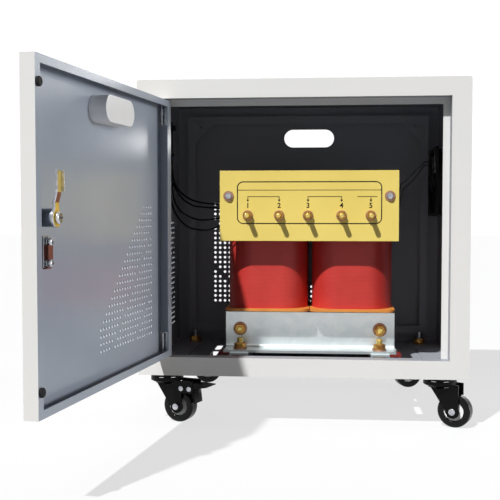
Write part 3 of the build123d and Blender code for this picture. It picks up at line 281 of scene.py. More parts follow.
def grain_group() -> bpy.types.NodeTree:
    """Makes the group that gives a fine grain for bump.

    Returns:
        The group.
    """
    ins = dict(Vector="Vector", Scale="Float")
    group, recipe, given, result = new_group("Grain", ins, dict(Height="Float"))
    noise = recipe.add("TexNoise", Vector=given["Vector"], Scale=given["Scale"], Detail=2.0)
    recipe.feed(result, "Height", noise.outputs["Fac"])
    return group


def bands_group() -> bpy.types.NodeTree:
    """Makes the group that gives fine bands along one coordinate, a little uneven.

    Returns:
        The group.
    """
    ins = dict(Vector="Vector", Coordinate="Float", Pitch="Float", Unevenness="Float")
    group, recipe, given, result = new_group("Bands", ins, dict(Band="Float"))
    noise = recipe.add("TexNoise", Vector=given["Vector"], Scale=14.0, Detail=1.0)
    drift = recipe.reckon("MULTIPLY", noise.outputs["Fac"], given["Unevenness"])
    place = recipe.reckon("ADD", given["Coordinate"], drift)
    steps = recipe.reckon("DIVIDE", place, given["Pitch"])
    wave = recipe.reckon("SINE", recipe.reckon("MULTIPLY", steps, 2 * math.pi))
    recipe.feed(result, "Band", recipe.spread(wave, (-1.0, 1.0), (0.0, 1.0)))
    return group


class Effect(Enum):
    """The shared shader groups."""

    MOTTLE = "Mottle"
    GRAIN = "Grain"
    BANDS = "Bands"


@dataclass(frozen=True)
class Finish:
    """A finish with soft clouds of a second colour and a fine grain.

    Args:
        name: the material's name.
        colour, second: its main colour and the one that it clouds towards.
        roughness, metallic, specular: as the shader takes them.
        cloud: how far it clouds, with cloud_scale per metre.
        grain: the bump's height in millimetres, with grain_scale per metre.
    """

    name: str
    colour: Colour
    second: Colour
    roughness: float
    metallic: float = 0.0
    specular: float = 0.5
    cloud: float = 0.3
    cloud_scale: float = 25.0
    grain: float = 0.02
    grain_scale: float = 900.0

    def material(self) -> bpy.types.Material:
        """Makes the material, or finds the one already made.

        Returns:
            The material.
        """
        ready = bpy.data.materials.get(self.name)
        if ready:
            return ready
        material = bpy.data.materials.new(self.name)
        material.use_nodes = True
        recipe = Recipe(material.node_tree)
        output = recipe.add("OutputMaterial")
        shader = recipe.add("BsdfPrincipled", Roughness=self.roughness, Metallic=self.metallic)
        recipe.feed(shader, "Specular IOR Level", self.specular)
        recipe.feed(output, "Surface", shader.outputs[0])
        place = recipe.add("TexCoord").outputs["Object"]
        colour, height = self.pattern(recipe, place)
        recipe.feed(shader, "Base Color", colour)
        bump = recipe.add("Bump", Height=height, Distance=self.grain * MM)
        recipe.feed(shader, "Normal", bump.outputs[0])
        return material

    def group(self, recipe: Recipe, effect: Effect, **inputs: object) -> bpy.types.Node:
        """Places a shared group in a material.

        Args:
            recipe: the hand for the material's nodes.
            effect: which group.
            inputs: the material's own values for the group's inputs, by name.

        Returns:
            The group's node.
        """
        node = recipe.add("Group")
        node.node_tree = bpy.data.node_groups[effect.value]
        for name, value in inputs.items():
            recipe.feed(node, name, value)
        return node

    def clouded(self, recipe: Recipe, place: Socket) -> Socket:
        """Gives the socket of the clouded colour at a place."""
        colours = dict(Colour=self.colour, Second=self.second)
        amounts = dict(Scale=self.cloud_scale, Amount=self.cloud)
        node = self.group(recipe, Effect.MOTTLE, Vector=place, **colours, **amounts)
        return node.outputs["Colour"]

    def grained(self, recipe: Recipe, place: Socket) -> Socket:
        """Gives the socket of the grain's height at a place."""
        node = self.group(recipe, Effect.GRAIN, Vector=place, Scale=self.grain_scale)
        return node.outputs["Height"]

    def pattern(self, recipe: Recipe, place: Socket) -> tuple[Socket, Socket]:
        """Gives the sockets of the colour and of the bump's height at a place."""
        height = self.grained(recipe, place)
        return self.clouded(recipe, place), height


class Axis(Enum):
    """A coordinate that bands follow."""

    ACROSS = 0
    DEPTH = 1
    HEIGHT = 2


@dataclass(frozen=True)
class Banded(Finish):
    """A finish with fine bands, such as wound tape or a stack of laminations.

    Args:
        axis: the coordinate that the bands are stacked along.
        pitch: from band to band, in millimetres, with unevenness as a drift in millimetres.
        line: the colour between the bands, with line_amount as its strength.
        line_reach: how far up a band its line goes, from 0 to 1.
    """

    axis: Axis = Axis.HEIGHT
    pitch: float = 3.0
    unevenness: float = 1.0
    line: Colour = (0.0, 0.0, 0.0)
    line_amount: float = 0.3
    line_reach: float = 0.35

    def pattern(self, recipe: Recipe, place: Socket) -> tuple[Socket, Socket]:
        """Gives the sockets of the banded colour and of the bump's height.

        Args:
            recipe: the hand for the material's nodes.
            place: the socket of the place on the piece.

        Returns:
            The colour's socket and the height's.
        """
        along = recipe.add("SeparateXYZ", Vector=place).outputs[self.axis.value]
        values = dict(Pitch=self.pitch * MM, Unevenness=self.unevenness * MM)
        node = self.group(recipe, Effect.BANDS, Vector=place, Coordinate=along, **values)
        band = node.outputs["Band"]
        strength = recipe.spread(band, (0.0, self.line_reach), (self.line_amount, 0.0))
        return recipe.blend(strength, self.clouded(recipe, place), self.line), band


@dataclass(frozen=True)
class Spangled(Finish):
    """Hot-dip zinc with its flat crystals.

    Args:
        crystal_scale: the crystals' scale per metre.
    """

    crystal_scale: float = 90.0

    def pattern(self, recipe: Recipe, place: Socket) -> tuple[Socket, Socket]:
        """Gives the sockets of the crystals' colour and of the bump's height.

        Args:
            recipe: the hand for the material's nodes.
            place: the socket of the place on the piece.

        Returns:
            The colour's socket and the height's.
        """
        cells = recipe.add("TexVoronoi", Vector=place, Scale=self.crystal_scale)
        shade = recipe.add("SeparateColor", Color=cells.outputs["Color"]).outputs[0]
        crystals = recipe.blend(shade, self.colour, self.second)
        height = self.grained(recipe, place)
        return recipe.blend(self.cloud, self.clouded(recipe, place), crystals), height


PAINT = Finish(
    "light grey paint", srgb(230, 229, 226), srgb(225, 225, 223), 0.42, cloud=0.5, cloud_scale=6
)
# The case's inner faces get the light grey paint's painted shade: a darker blue grey.
INNER_PAINTED_SHADE = Finish(
    "inner painted shade", srgb(164, 167, 174), srgb(154, 158, 167), 0.5, cloud=0.5, cloud_scale=5
)
# The open door's inside gets the light grey paint's painted shade: a darker blue grey with broad
# soft clouds.
DOOR_PAINTED_SHADE = Finish(
    "door inside painted shade", srgb(166, 174, 186), srgb(152, 161, 176), 0.26, cloud=0.8, cloud_scale=3
)
ZINC = Spangled(
    "galvanised sheet", srgb(220, 230, 232), srgb(240, 244, 245), 0.36, 0.8, cloud=0.5,
    cloud_scale=30,
)
STEEL = Banded(
    "laminated core", srgb(84, 86, 92), srgb(62, 63, 68), 0.5, 0.6, axis=Axis.DEPTH, pitch=1.1,
    unevenness=0.4, line=srgb(28, 28, 30), line_amount=0.5, grain=0.08,
)
TAPE = Banded(
    "red winding tape", srgb(206, 60, 52), srgb(186, 44, 40), 0.4, cloud=0.6, cloud_scale=22,
    pitch=2.1, unevenness=3.4, line=srgb(110, 16, 18), line_amount=0.35, grain=0.06,
)
COIL_BOARD = Finish("orange end plate", srgb(224, 150, 70), srgb(206, 124, 52), 0.5, cloud=0.6)
RED_BOARD = Finish("dark red insulator", srgb(128, 34, 32), srgb(104, 26, 26), 0.5)
YELLOW_BOARD = Finish(
    "yellow board", srgb(240, 216, 116), srgb(230, 205, 103), 0.4, cloud=0.6, cloud_scale=9
)
GOLD_ZINC = Finish(
    "gold zinc", srgb(214, 168, 84), srgb(168, 112, 62), 0.3, 0.75, cloud=0.8, cloud_scale=160
)
PALE_GOLD = Finish(
    "pale gold zinc", srgb(236, 212, 124), srgb(226, 190, 92), 0.26, 0.6, cloud=0.6, cloud_scale=120
)
PINK_ZINC = Finish(
    "pinkish zinc", srgb(190, 146, 122), srgb(150, 110, 96), 0.34, 0.6, cloud=0.8, cloud_scale=160
)
# Bright zinc is the own finish of the screws, axles and lock clamp; on the lock's gold zinc cam and
# rib it is a painted highlight.
BRIGHT_ZINC_AND_HIGHLIGHT = Finish(
    "bright zinc", srgb(206, 208, 212), srgb(150, 154, 162), 0.24, 0.8, cloud=0.8, cloud_scale=190
)
BLACK_PLASTIC = Finish("black plastic", srgb(20, 20, 22), srgb(15, 15, 17), 0.45, specular=0.2)
BLACK_STEEL = Finish("black steel", srgb(7, 6, 7), srgb(11, 10, 11), 0.34, specular=0.12)
WHITE_PLASTIC = Finish("white plastic", srgb(250, 250, 250), srgb(244, 245, 247), 0.3, cloud=0.4)
TYRE = Finish("black tyre", srgb(8, 8, 10), srgb(12, 12, 15), 0.2, specular=0.2)
RUBBER = Finish("black rubber", srgb(26, 26, 28), srgb(20, 20, 22), 0.7, specular=0.2)
LOCK_METAL = Finish("dark lock metal", srgb(112, 120, 134), srgb(88, 94, 106), 0.35, 0.3)
# Brown lock metal is the colour of the lock clamp's raised parts; on the cam's sloped crank faces
# it is painted shade.
BRONZE_AND_SHADE = Finish("brown lock metal and painted shade", srgb(138, 84, 74), srgb(112, 72, 62), 0.38, 0.6)
# The thin leads are black; their grey is a painted sheen.
THIN_LEAD_SHEEN = Finish("lead cover with painted sheen", srgb(92, 92, 94), srgb(70, 70, 72), 0.4)
PRINT = Finish("black print", srgb(16, 14, 12), srgb(24, 21, 18), 0.6, specular=0.2)

SLOTS: dict[str, Finish] = {
    "case_paint": PAINT,
    "zinc_sheet": ZINC,
    "core_steel": STEEL,
    "coil_tape": TAPE,
    "coil_board": COIL_BOARD,
    "red_board": RED_BOARD,
    "yellow_board": YELLOW_BOARD,
    "gold_zinc": GOLD_ZINC,
    "bright_zinc": BRIGHT_ZINC_AND_HIGHLIGHT,
    "black_plastic": BLACK_PLASTIC,
    "black_steel": BLACK_STEEL,
    "white_plastic": WHITE_PLASTIC,
    "black_tyre": TYRE,
    "black_rubber": RUBBER,
    "lock_metal": LOCK_METAL,
    "lead_cover": BLACK_PLASTIC,
    # The thin leads' grey is a painted sheen on black.
    "thin_lead_cover": THIN_LEAD_SHEEN,
}


# The bench: how pieces are modelled


def deselect() -> None:
    """Leaves object mode's selection empty."""
    for thing in bpy.context.selected_objects:
        thing.select_set(False)


def pick(thing: bpy.types.Object) -> None:
    """Makes one object the only selected and active one."""
    deselect()
    bpy.context.view_layer.objects.active = thing
    thing.select_set(True)


def fresh(name: str) -> bpy.types.Object:
    """Names the primitive just added and puts its place into its mesh.

    Args:
        name: the piece's name.

    Returns:
        The piece, at the origin.
    """
    thing = bpy.context.active_object
    thing.name = thing.data.name = name
    pick(thing)
    bpy.ops.object.transform_apply(location=True, rotation=True, scale=True)
    return thing


def select_faces(thing: bpy.types.Object, test: Test) -> None:
    """Enters edit mode with some faces selected.

    Args:
        thing: the piece.
        test: says by a face's centre and normal whether it is one of them.
    """
    pick(thing)
    mesh = thing.data
    for part in (*mesh.vertices, *mesh.edges):
        part.select = False
    for face in mesh.polygons:
        face.select = test(face.center, face.normal)
    bpy.ops.object.mode_set(mode="EDIT")
    bpy.ops.mesh.select_mode(type="FACE")


def facing(way: Vector, least: float = SQUARE, most: float = math.inf) -> Test:
    """Makes a test for faces that look a way.

    Args:
        way: the way.
        least, most: how much of a face's normal may lie along it.

    Returns:
        The test, for a face's centre and normal.
    """
    return lambda centre, normal: least < normal.dot(way) <= most


def leave_edit() -> None:
    """Leaves edit mode."""
    bpy.ops.object.mode_set(mode="OBJECT")


def modify(thing: bpy.types.Object, kind: str, **values: object) -> None:
    """Adds a modifier and applies it.

    Args:
        thing: the piece.
        kind: the modifier's type.
        values: its settings, by name.
    """
    pick(thing)
    modifier = thing.modifiers.new(kind.title(), kind)
    for name, value in values.items():
        setattr(modifier, name, value)
    bpy.ops.object.modifier_apply(modifier=modifier.name)


def soften(
    thing: bpy.types.Object, width: float, segments: int = 2, angle: float = SHARP_ANGLE
) -> None:
    """Rounds the sharp edges.

    Args:
        thing: the piece.
        width, segments: of the rounding, in millimetres, and in how many steps it is made.
        angle: from how many degrees on an edge is sharp.
    """
    values = dict(width=width * MM, segments=segments, angle_limit=math.radians(angle))
    modify(thing, "BEVEL", limit_method="ANGLE", **values)


def chamfer(thing: bpy.types.Object, test: Test, width: float, segments: int = 1) -> None:
    """Bevels the outline of some faces.

    Args:
        thing: the piece.
        test: says by a face's centre and normal whether it is one of them.
        width, segments: of the bevel, in millimetres, and in how many steps it is made.
    """
    select_faces(thing, test)
    bpy.ops.mesh.region_to_loop()
    bpy.ops.mesh.bevel(offset=width * MM, segments=segments, affect="EDGES")
    leave_edit()


def smooth(thing: bpy.types.Object) -> None:
    """Shades smooth all but the sharp edges, with flat faces kept flat."""
    pick(thing)
    bpy.ops.object.shade_smooth_by_angle(angle=math.radians(SHARP_ANGLE))
    modify(thing, "WEIGHTED_NORMAL", keep_sharp=True)


def cut(thing: bpy.types.Object, tool: bpy.types.Object) -> None:
    """Cuts a tool's shape away and removes the tool."""
    modify(thing, "BOOLEAN", operation="DIFFERENCE", solver="EXACT", object=tool)
    bpy.data.objects.remove(tool)


def join(things: Sequence[bpy.types.Object], name: str) -> bpy.types.Object:
    """Joins pieces into the first of them.

    Args:
        things: the pieces.
        name: the joined piece's name.

    Returns:
        The joined piece.
    """
    deselect()
    for thing in things:
        thing.select_set(True)
    bpy.context.view_layer.objects.active = things[0]
    bpy.ops.object.join()
    things[0].name = things[0].data.name = name
    return things[0]


def block(
    name: str, stand: Stand, low: Sequence[float], high: Sequence[float]
) -> bpy.types.Object:
    """Adds a block between two corners.

    Args:
        name: the block's name.
        stand: what the corners are measured from.
        low, high: the corners, in millimetres.

    Returns:
        The block.
    """
    middle = [(a + b) / 2 for a, b in zip(low, high)]
    deselect()
    bpy.ops.mesh.primitive_cube_add(size=1)
    thing = bpy.context.active_object
    size = Matrix.Diagonal([(b - a) * MM for a, b in zip(low, high)]).to_4x4()
    thing.matrix_world = Matrix.Translation(stand.at(*middle)) @ stand.turn() @ size
    return fresh(name)


def rod(
    name: str, start: Vector, way: Vector, radius: float, length: float, sides: int = 32
) -> bpy.types.Object:
    """Adds a cylinder.

    Args:
        name: its name.
        start: the middle of its first end, in metres.
        way: the direction that it runs in.
        radius, length: in millimetres.
        sides: how many sides it has.

    Returns:
        The cylinder.
    """
    deselect()
    bpy.ops.mesh.primitive_cylinder_add(vertices=sides, radius=radius * MM, depth=length * MM)
    thing = bpy.context.active_object
    turn = way.normalized().to_track_quat("Z", "Y").to_matrix().to_4x4()
    thing.matrix_world = Matrix.Translation(start + way.normalized() * length * MM / 2) @ turn
    return fresh(name)


def merged_copy(node: str, name: str) -> bpy.types.Object:
    """Copies a CAD node's mesh and joins its loose triangles.

    Args:
        node: the node's name.
        name: the copy's name.

    Returns:
        The copy, with whole flat faces and no finish.
    """
    thing = bpy.data.objects.new(name, NODES[node].data.copy())
    bpy.context.scene.collection.objects.link(thing)
    thing.data.materials.clear()
    pick(thing)
    bpy.ops.object.mode_set(mode="EDIT")
    bpy.ops.mesh.select_all(action="SELECT")
    bpy.ops.mesh.remove_doubles(threshold=DOUBLES)
    bpy.ops.mesh.dissolve_limited(angle_limit=math.radians(FLAT_ANGLE))
    leave_edit()
    return thing


def placed_copy(source: bpy.types.Object, name: str, change: Matrix) -> bpy.types.Object:
    """Copies a piece with a mesh of its own.

    Args:
        source: the piece.
        name: the copy's name.
        change: what is done to the copy's mesh.

    Returns:
        The copy.
    """
    thing = bpy.data.objects.new(name, source.data.copy())
    bpy.context.scene.collection.objects.link(thing)
    thing.data.transform(change)
    return thing


def dress(
    thing: bpy.types.Object, finish: Finish, slot: str, body: str, *replaced: str
) -> bpy.types.Object:
    """Finishes a piece and ties it to the part.

    Args:
        thing: the piece.
        finish: its finish.
        slot: its material slot in the record; not used.
        body: the body that it rides on.
        replaced: the CAD nodes that it stands for.

    Returns:
        The piece.
    """
    thing.data.materials.clear()
    thing.data.materials.append(finish.material())
    for node in replaced:
        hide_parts(node)
    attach(thing, body)
    LOG.info("%s on %s: %d faces", thing.name, body, len(thing.data.polygons))
    return thing


def repaint(thing: bpy.types.Object, finish: Finish, test: Test) -> None:
    """Gives some faces another finish.

    Args:
        thing: the piece.
        finish: the other finish.
        test: says by a face's centre and normal whether it gets it.
    """
    thing.data.materials.append(finish.material())
    number = len(thing.data.materials) - 1
    for face in thing.data.polygons:
        if test(face.center, face.normal):
            face.material_index = number


# Sub-assemblies


@dataclass
class VentField:
    """The triangle of round holes with two diagonals left out, counted from its upper corner.

    Args:
        rows: how many rows and columns it has.
        pitch, radius: of the holes, in millimetres.
        lead: how many more holes a row has than its number.
        skipped: the diagonals that are left out.
        sides: how many sides a hole has.
        tool_length: of the pins that cut the holes, in millimetres.
    """

    rows: int = 21
    pitch: float = 9.35
    radius: float = 2.5
    lead: int = 3
    skipped: tuple[int, int] = (4, 13)
    sides: int = 16
    tool_length: float = 6.0

    def places(self) -> list[tuple[float, float]]:
        """Lists the holes.

        Returns:
            Their centres from the first one, across and down, in millimetres.
        """
        return [
            (column * self.pitch, -row * self.pitch)
            for row in range(self.rows)
            for column in range(min(row + self.lead + 1, self.rows))
            if row - column not in self.skipped
        ]

    def punch(self, sheet: bpy.types.Object, centres: Iterable[Vector], way: Vector) -> None:
        """Cuts the holes.

        Args:
            sheet: the piece to cut.
            centres: the holes' centres, in metres, half way through the sheet.
            way: the direction through it.
        """
        first, *others = centres
        start = first - way.normalized() * self.tool_length * MM / 2
        pin = rod("punch", start, way, self.radius, self.tool_length, self.sides)
        pins = [pin]
        for other in others:
            pins.append(placed_copy(pin, "punch", Matrix.Translation(other - first)))
        cut(sheet, join(pins, "punch"))


@dataclass
class CaseSheets:
    """The folded wrap, the frames, the rear cover and the floor.

    Args:
        vents: the vent field that the left wall and the rear cover share.
        wall_first: depth and height of the left wall's first hole.
        cover_first: width and height of the rear cover's first hole.
        width, depth, height: of the case.
        lip: how deep from the front the light outer paint goes.
        least_facing: the least cosine at which a face looks towards the case's middle.
    """

    vents: VentField = field(default_factory=VentField)
    wall_first: tuple[float, float] = (315.4, 230.3)
    cover_first: tuple[float, float] = (72.6, 264.2)
    width: float = 500.0
    depth: float = 375.0
    height: float = 450.0
    lip: float = 1.0
    least_facing: float = 0.02

    def inside(self, centre: Vector, normal: Vector) -> bool:
        """Says whether a face is one of the case's inner ones.

        Args:
            centre, normal: the face's.

        Returns:
            Whether it looks into the case from behind the front lip.
        """
        inward = case_at(self.width / 2, self.depth / 2, self.height / 2) - centre
        looks_in = normal.dot(inward) > self.least_facing * inward.length
        return looks_in and (centre / MM - CASE_CORNER).y > self.lip

    def build(self) -> None:
        """Cuts the vents and paints the sheets, light outside and with painted shade, a darker blue
        grey, inside.
        """
        wrap = merged_copy("cabinet_wrap", "case_wrap")
        start, top = self.wall_first
        places = self.vents.places()
        centres = [case_at(HALF_SHEET, start - right, top + down) for right, down in places]
        self.vents.punch(wrap, centres, CASE.right)
        cover = merged_copy("rear_cover", "rear_cover_sheet")
        start, top = self.cover_first
        back = self.depth - HALF_SHEET
        centres = [case_at(start + right, back, top + down) for right, down in places]
        self.vents.punch(cover, centres, CASE.inward)
        for sheet, node in ((wrap, "cabinet_wrap"), (cover, "rear_cover")):
            dress(sheet, PAINT, "case_paint", "case", node)
            # The inner faces get the painted shade.
            repaint(sheet, INNER_PAINTED_SHADE, self.inside)
        # The inner faces of the frames and the floor get the same painted shade.
        for node in ("front_frame", "rear_frame", "floor_plate"):
            repaint(NODES[node], INNER_PAINTED_SHADE, self.inside)


@dataclass
class DoorSheet:
    """The door's pan with its vents.

    Args:
        vents: its vent field.
        first: width and height of the first hole on the closed door.
        left, right, low, high: the outline of the door's sheet.
        edge: how far from the outline and from the outer face the painted shade begins.
    """

    vents: VentField = field(default_factory=VentField)
    first: tuple[float, float] = (76.75, 258.1)
    left: float = 32.0
    right: float = 468.0
    low: float = 29.5
    high: float = 418.5
    edge: float = 0.2

    def inside(self, centre: Vector, normal: Vector) -> bool:
        """Says whether a face is one of the pan's inner ones.

        Args:
            centre, normal: the face's.

        Returns:
            Whether its centre lies within the sheet's outline, off the outer face.
        """
        place = centre / MM - CASE_CORNER - DOOR.origin
        across, up = place.dot(DOOR.right), place.z
        rim = min(across - self.left, self.right - across, up - self.low, self.high - up)
        return place.dot(DOOR.inward) > self.edge and rim > self.edge

    def build(self) -> None:
        """Cuts the vents and paints the pan, light outside and with painted shade, a darker blue
        grey, inside.
        """
        pan = merged_copy("door_panel", "door_pan")
        start, top = self.first
        places = self.vents.places()
        centres = [DOOR.at(start + right, HALF_SHEET, top + down) for right, down in places]
        self.vents.punch(pan, centres, DOOR.inward)
        dress(pan, PAINT, "case_paint", "door", "door_panel")
        # The pan's inner faces get the painted shade.
        repaint(pan, DOOR_PAINTED_SHADE, self.inside)


@dataclass
class BoardPrint:
    """The printed frame, brackets, arrows and numbers on the terminal board.

    Args:
        face: the board's front, as a depth in the case.
        ink: how far the print stands out, with sunk as how far it goes in.
        left, right, low, high: the printed frame's outline.
        corner, line: its corner radius and line width, with corner_steps as the steps of a
            rounded corner.
        cutter_over: how far the plate that hollows the frame stands out of it.
        rule: the height of the line across the frame, with rule_half as half its width and
            rule_inset as how far inside the frame's outline it ends.
        bracket: the height of the lines over the terminals.
        thin_half: half the width of the brackets and of the arrows' shafts.
        arrow_tip: the height of the arrows' tips, with arrow_head as the heads' radius and
            shaft_gap as how far above the tips the shafts end.
        number_height, number_size: the numbers' middle and size, with number_weight as how
            much bolder they are and number_steps as the steps of their curves.
        terminals: the terminals' places across.
        last_reach: how far the last terminal's bracket goes to its left and right.
    """

    face: float = 78.0
    ink: float = 0.12
    sunk: float = 0.1
    left: float = 144.5
    right: float = 374.7
    low: float = 231.0
    high: float = 299.0
    corner: float = 10.0
    corner_steps: int = 8
    line: float = 1.7
    cutter_over: float = 1.0
    rule: float = 285.0
    rule_half: float = 0.45
    rule_inset: float = 0.5
    bracket: float = 274.6
    thin_half: float = 0.5
    arrow_tip: float = 266.0
    arrow_head: float = 2.6
    shaft_gap: float = 2.5
    number_height: float = 260.2
    number_size: float = 11.5
    number_weight: float = 0.25
    number_steps: int = 6
    terminals: tuple[float, ...] = (162.0, 212.0, 258.0, 311.0, 357.0)
    last_reach: tuple[float, float] = (21.0, 10.0)

    def middle(self, across: float, height: float) -> Vector:
        """Gives the point half way through the print, in metres."""
        return case_at(across, self.face + (self.sunk - self.ink) / 2, height)

    def bar(self, left: float, right: float, height: float, half: float) -> bpy.types.Object:
        """Adds a level line of print, this high up and with this half width."""
        return self.plate("print", (left, right), (height - half, height + half))

    def plate(
        self, name: str, across: tuple[float, float], up: tuple[float, float], extra: float = 0.0
    ) -> bpy.types.Object:
        """Adds a flat plate of print.

        Args:
            name: its name.
            across, up: where it begins and ends.
            extra: how much further it goes in and out than print does.

        Returns:
            The plate.
        """
        low = (across[0], self.face - self.ink - extra, up[0])
        high = (across[1], self.face + self.sunk + extra, up[1])
        return block(name, CASE, low, high)

    def frame_line(self) -> bpy.types.Object:
        """Makes the rounded frame, a plate less a smaller one, rounded along the depth.

        Returns:
            The frame.
        """
        plates = []
        for inset, extra in ((0.0, 0.0), (self.line, self.cutter_over)):
            across = (self.left + inset, self.right - inset)
            up = (self.low + inset, self.high - inset)
            plate = self.plate("print_frame", across, up, extra)
            pick(plate)
            mesh = plate.data
            for edge in mesh.edges:
                a, b = (mesh.vertices[v].co for v in edge.vertices)
                edge.select = abs((a - b).y) > abs((a - b).x) + abs((a - b).z)
            for part in (*mesh.vertices, *mesh.polygons):
                part.select = False
            bpy.ops.object.mode_set(mode="EDIT")
            bpy.ops.mesh.select_mode(type="EDGE")
            width = (self.corner - inset) * MM
            bpy.ops.mesh.bevel(offset=width, segments=self.corner_steps, affect="EDGES")
            leave_edit()
            plates.append(plate)
        outer, inner = plates
        cut(outer, inner)
        return outer

    def arrow(self, across: float) -> list[bpy.types.Object]:
        """Makes an arrow from a bracket down to a terminal.

        Args:
            across: the terminal's place.

        Returns:
            Its shaft and its three-sided head.
        """
        sides = (across - self.thin_half, across + self.thin_half)
        shaft = self.plate("print", sides, (self.arrow_tip + self.shaft_gap, self.bracket))
        deselect()
        bpy.ops.mesh.primitive_cylinder_add(
            vertices=3, radius=self.arrow_head * MM, depth=(self.ink + self.sunk) * MM
        )
        head = bpy.context.active_object
        place = Matrix.Translation(self.middle(across, self.arrow_tip + self.arrow_head))
        head.matrix_world = place @ Matrix.Rotation(math.pi, 4, "Y") @ UPRIGHT
        return [shaft, fresh("print")]

    def number(self, text: str, across: float) -> bpy.types.Object:
        """Makes a printed number.

        Args:
            text: the number.
            across: the place of the terminal that it is centred over.

        Returns:
            The number, as a mesh.
        """
        deselect()
        bpy.ops.object.text_add()
        thing = bpy.context.active_object
        thing.data.body = text
        thing.data.size = self.number_size * MM
        thing.data.align_x, thing.data.align_y = "CENTER", "CENTER"
        thing.data.offset = self.number_weight * MM
        thing.data.extrude = (self.ink + self.sunk) / 2 * MM
        thing.data.resolution_u = self.number_steps
        pick(thing)
        bpy.ops.object.convert(target="MESH")
        thing = bpy.context.active_object
        thing.matrix_world = Matrix.Translation(self.middle(across, self.number_height)) @ UPRIGHT
        return fresh(f"number_{text}")

    def build(self) -> None:
        """Prints the board."""
        thin = self.thin_half
        lines = [self.frame_line()]
        ends = (self.left + self.rule_inset, self.right - self.rule_inset)
        lines.append(self.bar(*ends, self.rule, self.rule_half))
        for first, second in (self.terminals[0:2], self.terminals[2:4]):
            lines.append(self.bar(first - thin, second + thin, self.bracket, thin))
            lines += self.arrow(first) + self.arrow(second)
        last = self.terminals[-1]
        ends = (last - self.last_reach[0], last + self.last_reach[1])
        lines.append(self.bar(*ends, self.bracket, thin))
        lines += self.arrow(last)
        dress(join(lines, "board_print"), PRINT, "yellow_board", "case")
        for number, across in enumerate(self.terminals, 1):
            dress(self.number(str(number), across), PRINT, "yellow_board", "case")


@dataclass(frozen=True)
class Fastening:
    """How a node of bolts, nuts, washers or studs is finished.

    Args:
        finish: its finish.
        way: the way that its seen ends face.
        width, segments: of these ends' chamfer, in millimetres, and in how many steps.
        reach: how deep in the case an end may lie and still be chamfered, in millimetres.
    """

    finish: Finish
    way: tuple[int, int, int] = (0, -1, 0)
    width: float = 0.9
    segments: int = 1
    reach: float = 1000.0

    def seen_end(self, centre: Vector, normal: Vector) -> bool:
        """Says whether a face with this centre and normal is a seen end."""
        shallow = centre.y < (CASE_CORNER.y + self.reach) * MM
        return shallow and normal.dot(Vector(self.way)) > SQUARE


@dataclass
class Fittings:
    """The fasteners with chamfered ends, and the pressed or moulded pieces with eased edges.

    Args:
        fastenings: how each node of fasteners is finished.
        eased: for each other node, the width in millimetres by which its edges are eased,
            0 for none.
        end_radius, end_length: of the ends that stand out of the clamp bolts' heads.
        end_dome, end_steps: how far these ends are domed, in millimetres, and in how many
            steps.
        end_sides: how many sides they have.
        head_area: the least area of a bolt head's front, in square metres.
        swivel_top: how high over the case's underside black steel ends on a caster's stem.
    """

    fastenings: dict[str, Fastening] = field(
        default_factory=lambda: {
            "board_bolts": Fastening(BRIGHT_ZINC_AND_HIGHLIGHT, width=0.8),
            "clamp_bolts": Fastening(GOLD_ZINC, width=1.4),
            "clamp_nuts": Fastening(GOLD_ZINC, (0, 1, 0), 1.4),
            "foot_bolts": Fastening(PALE_GOLD, (0, 0, 1), 1.3, 3),
            "foot_nuts": Fastening(GOLD_ZINC, (0, 0, 1), 1.3),
            "terminal_nuts": Fastening(GOLD_ZINC, width=1.1),
            "terminal_studs": Fastening(PALE_GOLD, width=1.8, segments=4, reach=60.0),
            "terminal_washers": Fastening(PINK_ZINC, width=0.4),
            "flat_washers": Fastening(PINK_ZINC, width=0.5),
            "caster_nuts": Fastening(GOLD_ZINC, (0, 0, 1), 1.2),
        }
    )
    eased: dict[str, float] = field(
        default_factory=lambda: {
            "pull_cup": 0.7,
            "terminal_board": 0.3,
            "lower_clamp_front": 0.0,
            "upper_clamp_front": 0.0,
            "board_arms": 0.0,
            "coil_left": 0.0,
            "coil_right": 0.0,
            "lock_housing": 0.4,
            "lock_core": 0.0,
        }
    )
    end_radius: float = 4.7
    end_length: float = 4.0
    end_dome: float = 1.6
    end_steps: int = 4
    end_sides: int = 24
    head_area: float = 1e-4
    swivel_top: float = 1.0

    def bolt_ends(self, bolts: bpy.types.Object) -> bpy.types.Object:
        """Makes the domed ends that stand out of the clamp bolts' heads.

        Args:
            bolts: the chamfered clamp bolts.

        Returns:
            The ends as one piece.
        """
        ends = []
        for face in bolts.data.polygons:
            if face.normal.dot(FRONT) > SQUARE and face.area > self.head_area:
                size = (self.end_radius, self.end_length, self.end_sides)
                end = rod("stud_end", face.center, FRONT, *size)
                chamfer(end, facing(FRONT), self.end_dome, self.end_steps)
                ends.append(end)
        joined = join(ends, "clamp_bolt_ends")
        smooth(joined)
        return joined

    def body(self, node: str) -> str:
        """Gives the body that a CAD node belongs to."""
        bodies = RECORD["behaviour"]["bodies"]
        return next(body for body, nodes in bodies.items() if node in nodes)

    def swivel(self, centre: Vector, normal: Vector) -> bool:
        """Says whether a face of the caster stems lies on the swivels' black part."""
        return centre.z < (CASE_CORNER.z + self.swivel_top) * MM

    def build(self) -> None:
        """Finishes a copy of each node."""
        slots = {part["node"]: part["material_slot"] for part in RECORD["subparts"]}
        for node, width in self.eased.items():
            piece = merged_copy(node, f"{node}_eased")
            if width:
                soften(piece, width)
            smooth(piece)
            dress(piece, SLOTS[slots[node]], slots[node], self.body(node), node)
        for node, how in self.fastenings.items():
            piece = merged_copy(node, f"{node}_chamfered")
            chamfer(piece, how.seen_end, how.width, how.segments)
            smooth(piece)
            dress(piece, how.finish, slots[node], self.body(node), node)
            if node == "clamp_bolts":
                dress(self.bolt_ends(piece), PALE_GOLD, "gold_zinc", "case")
        repaint(NODES["caster_stems"], BLACK_STEEL, self.swivel)


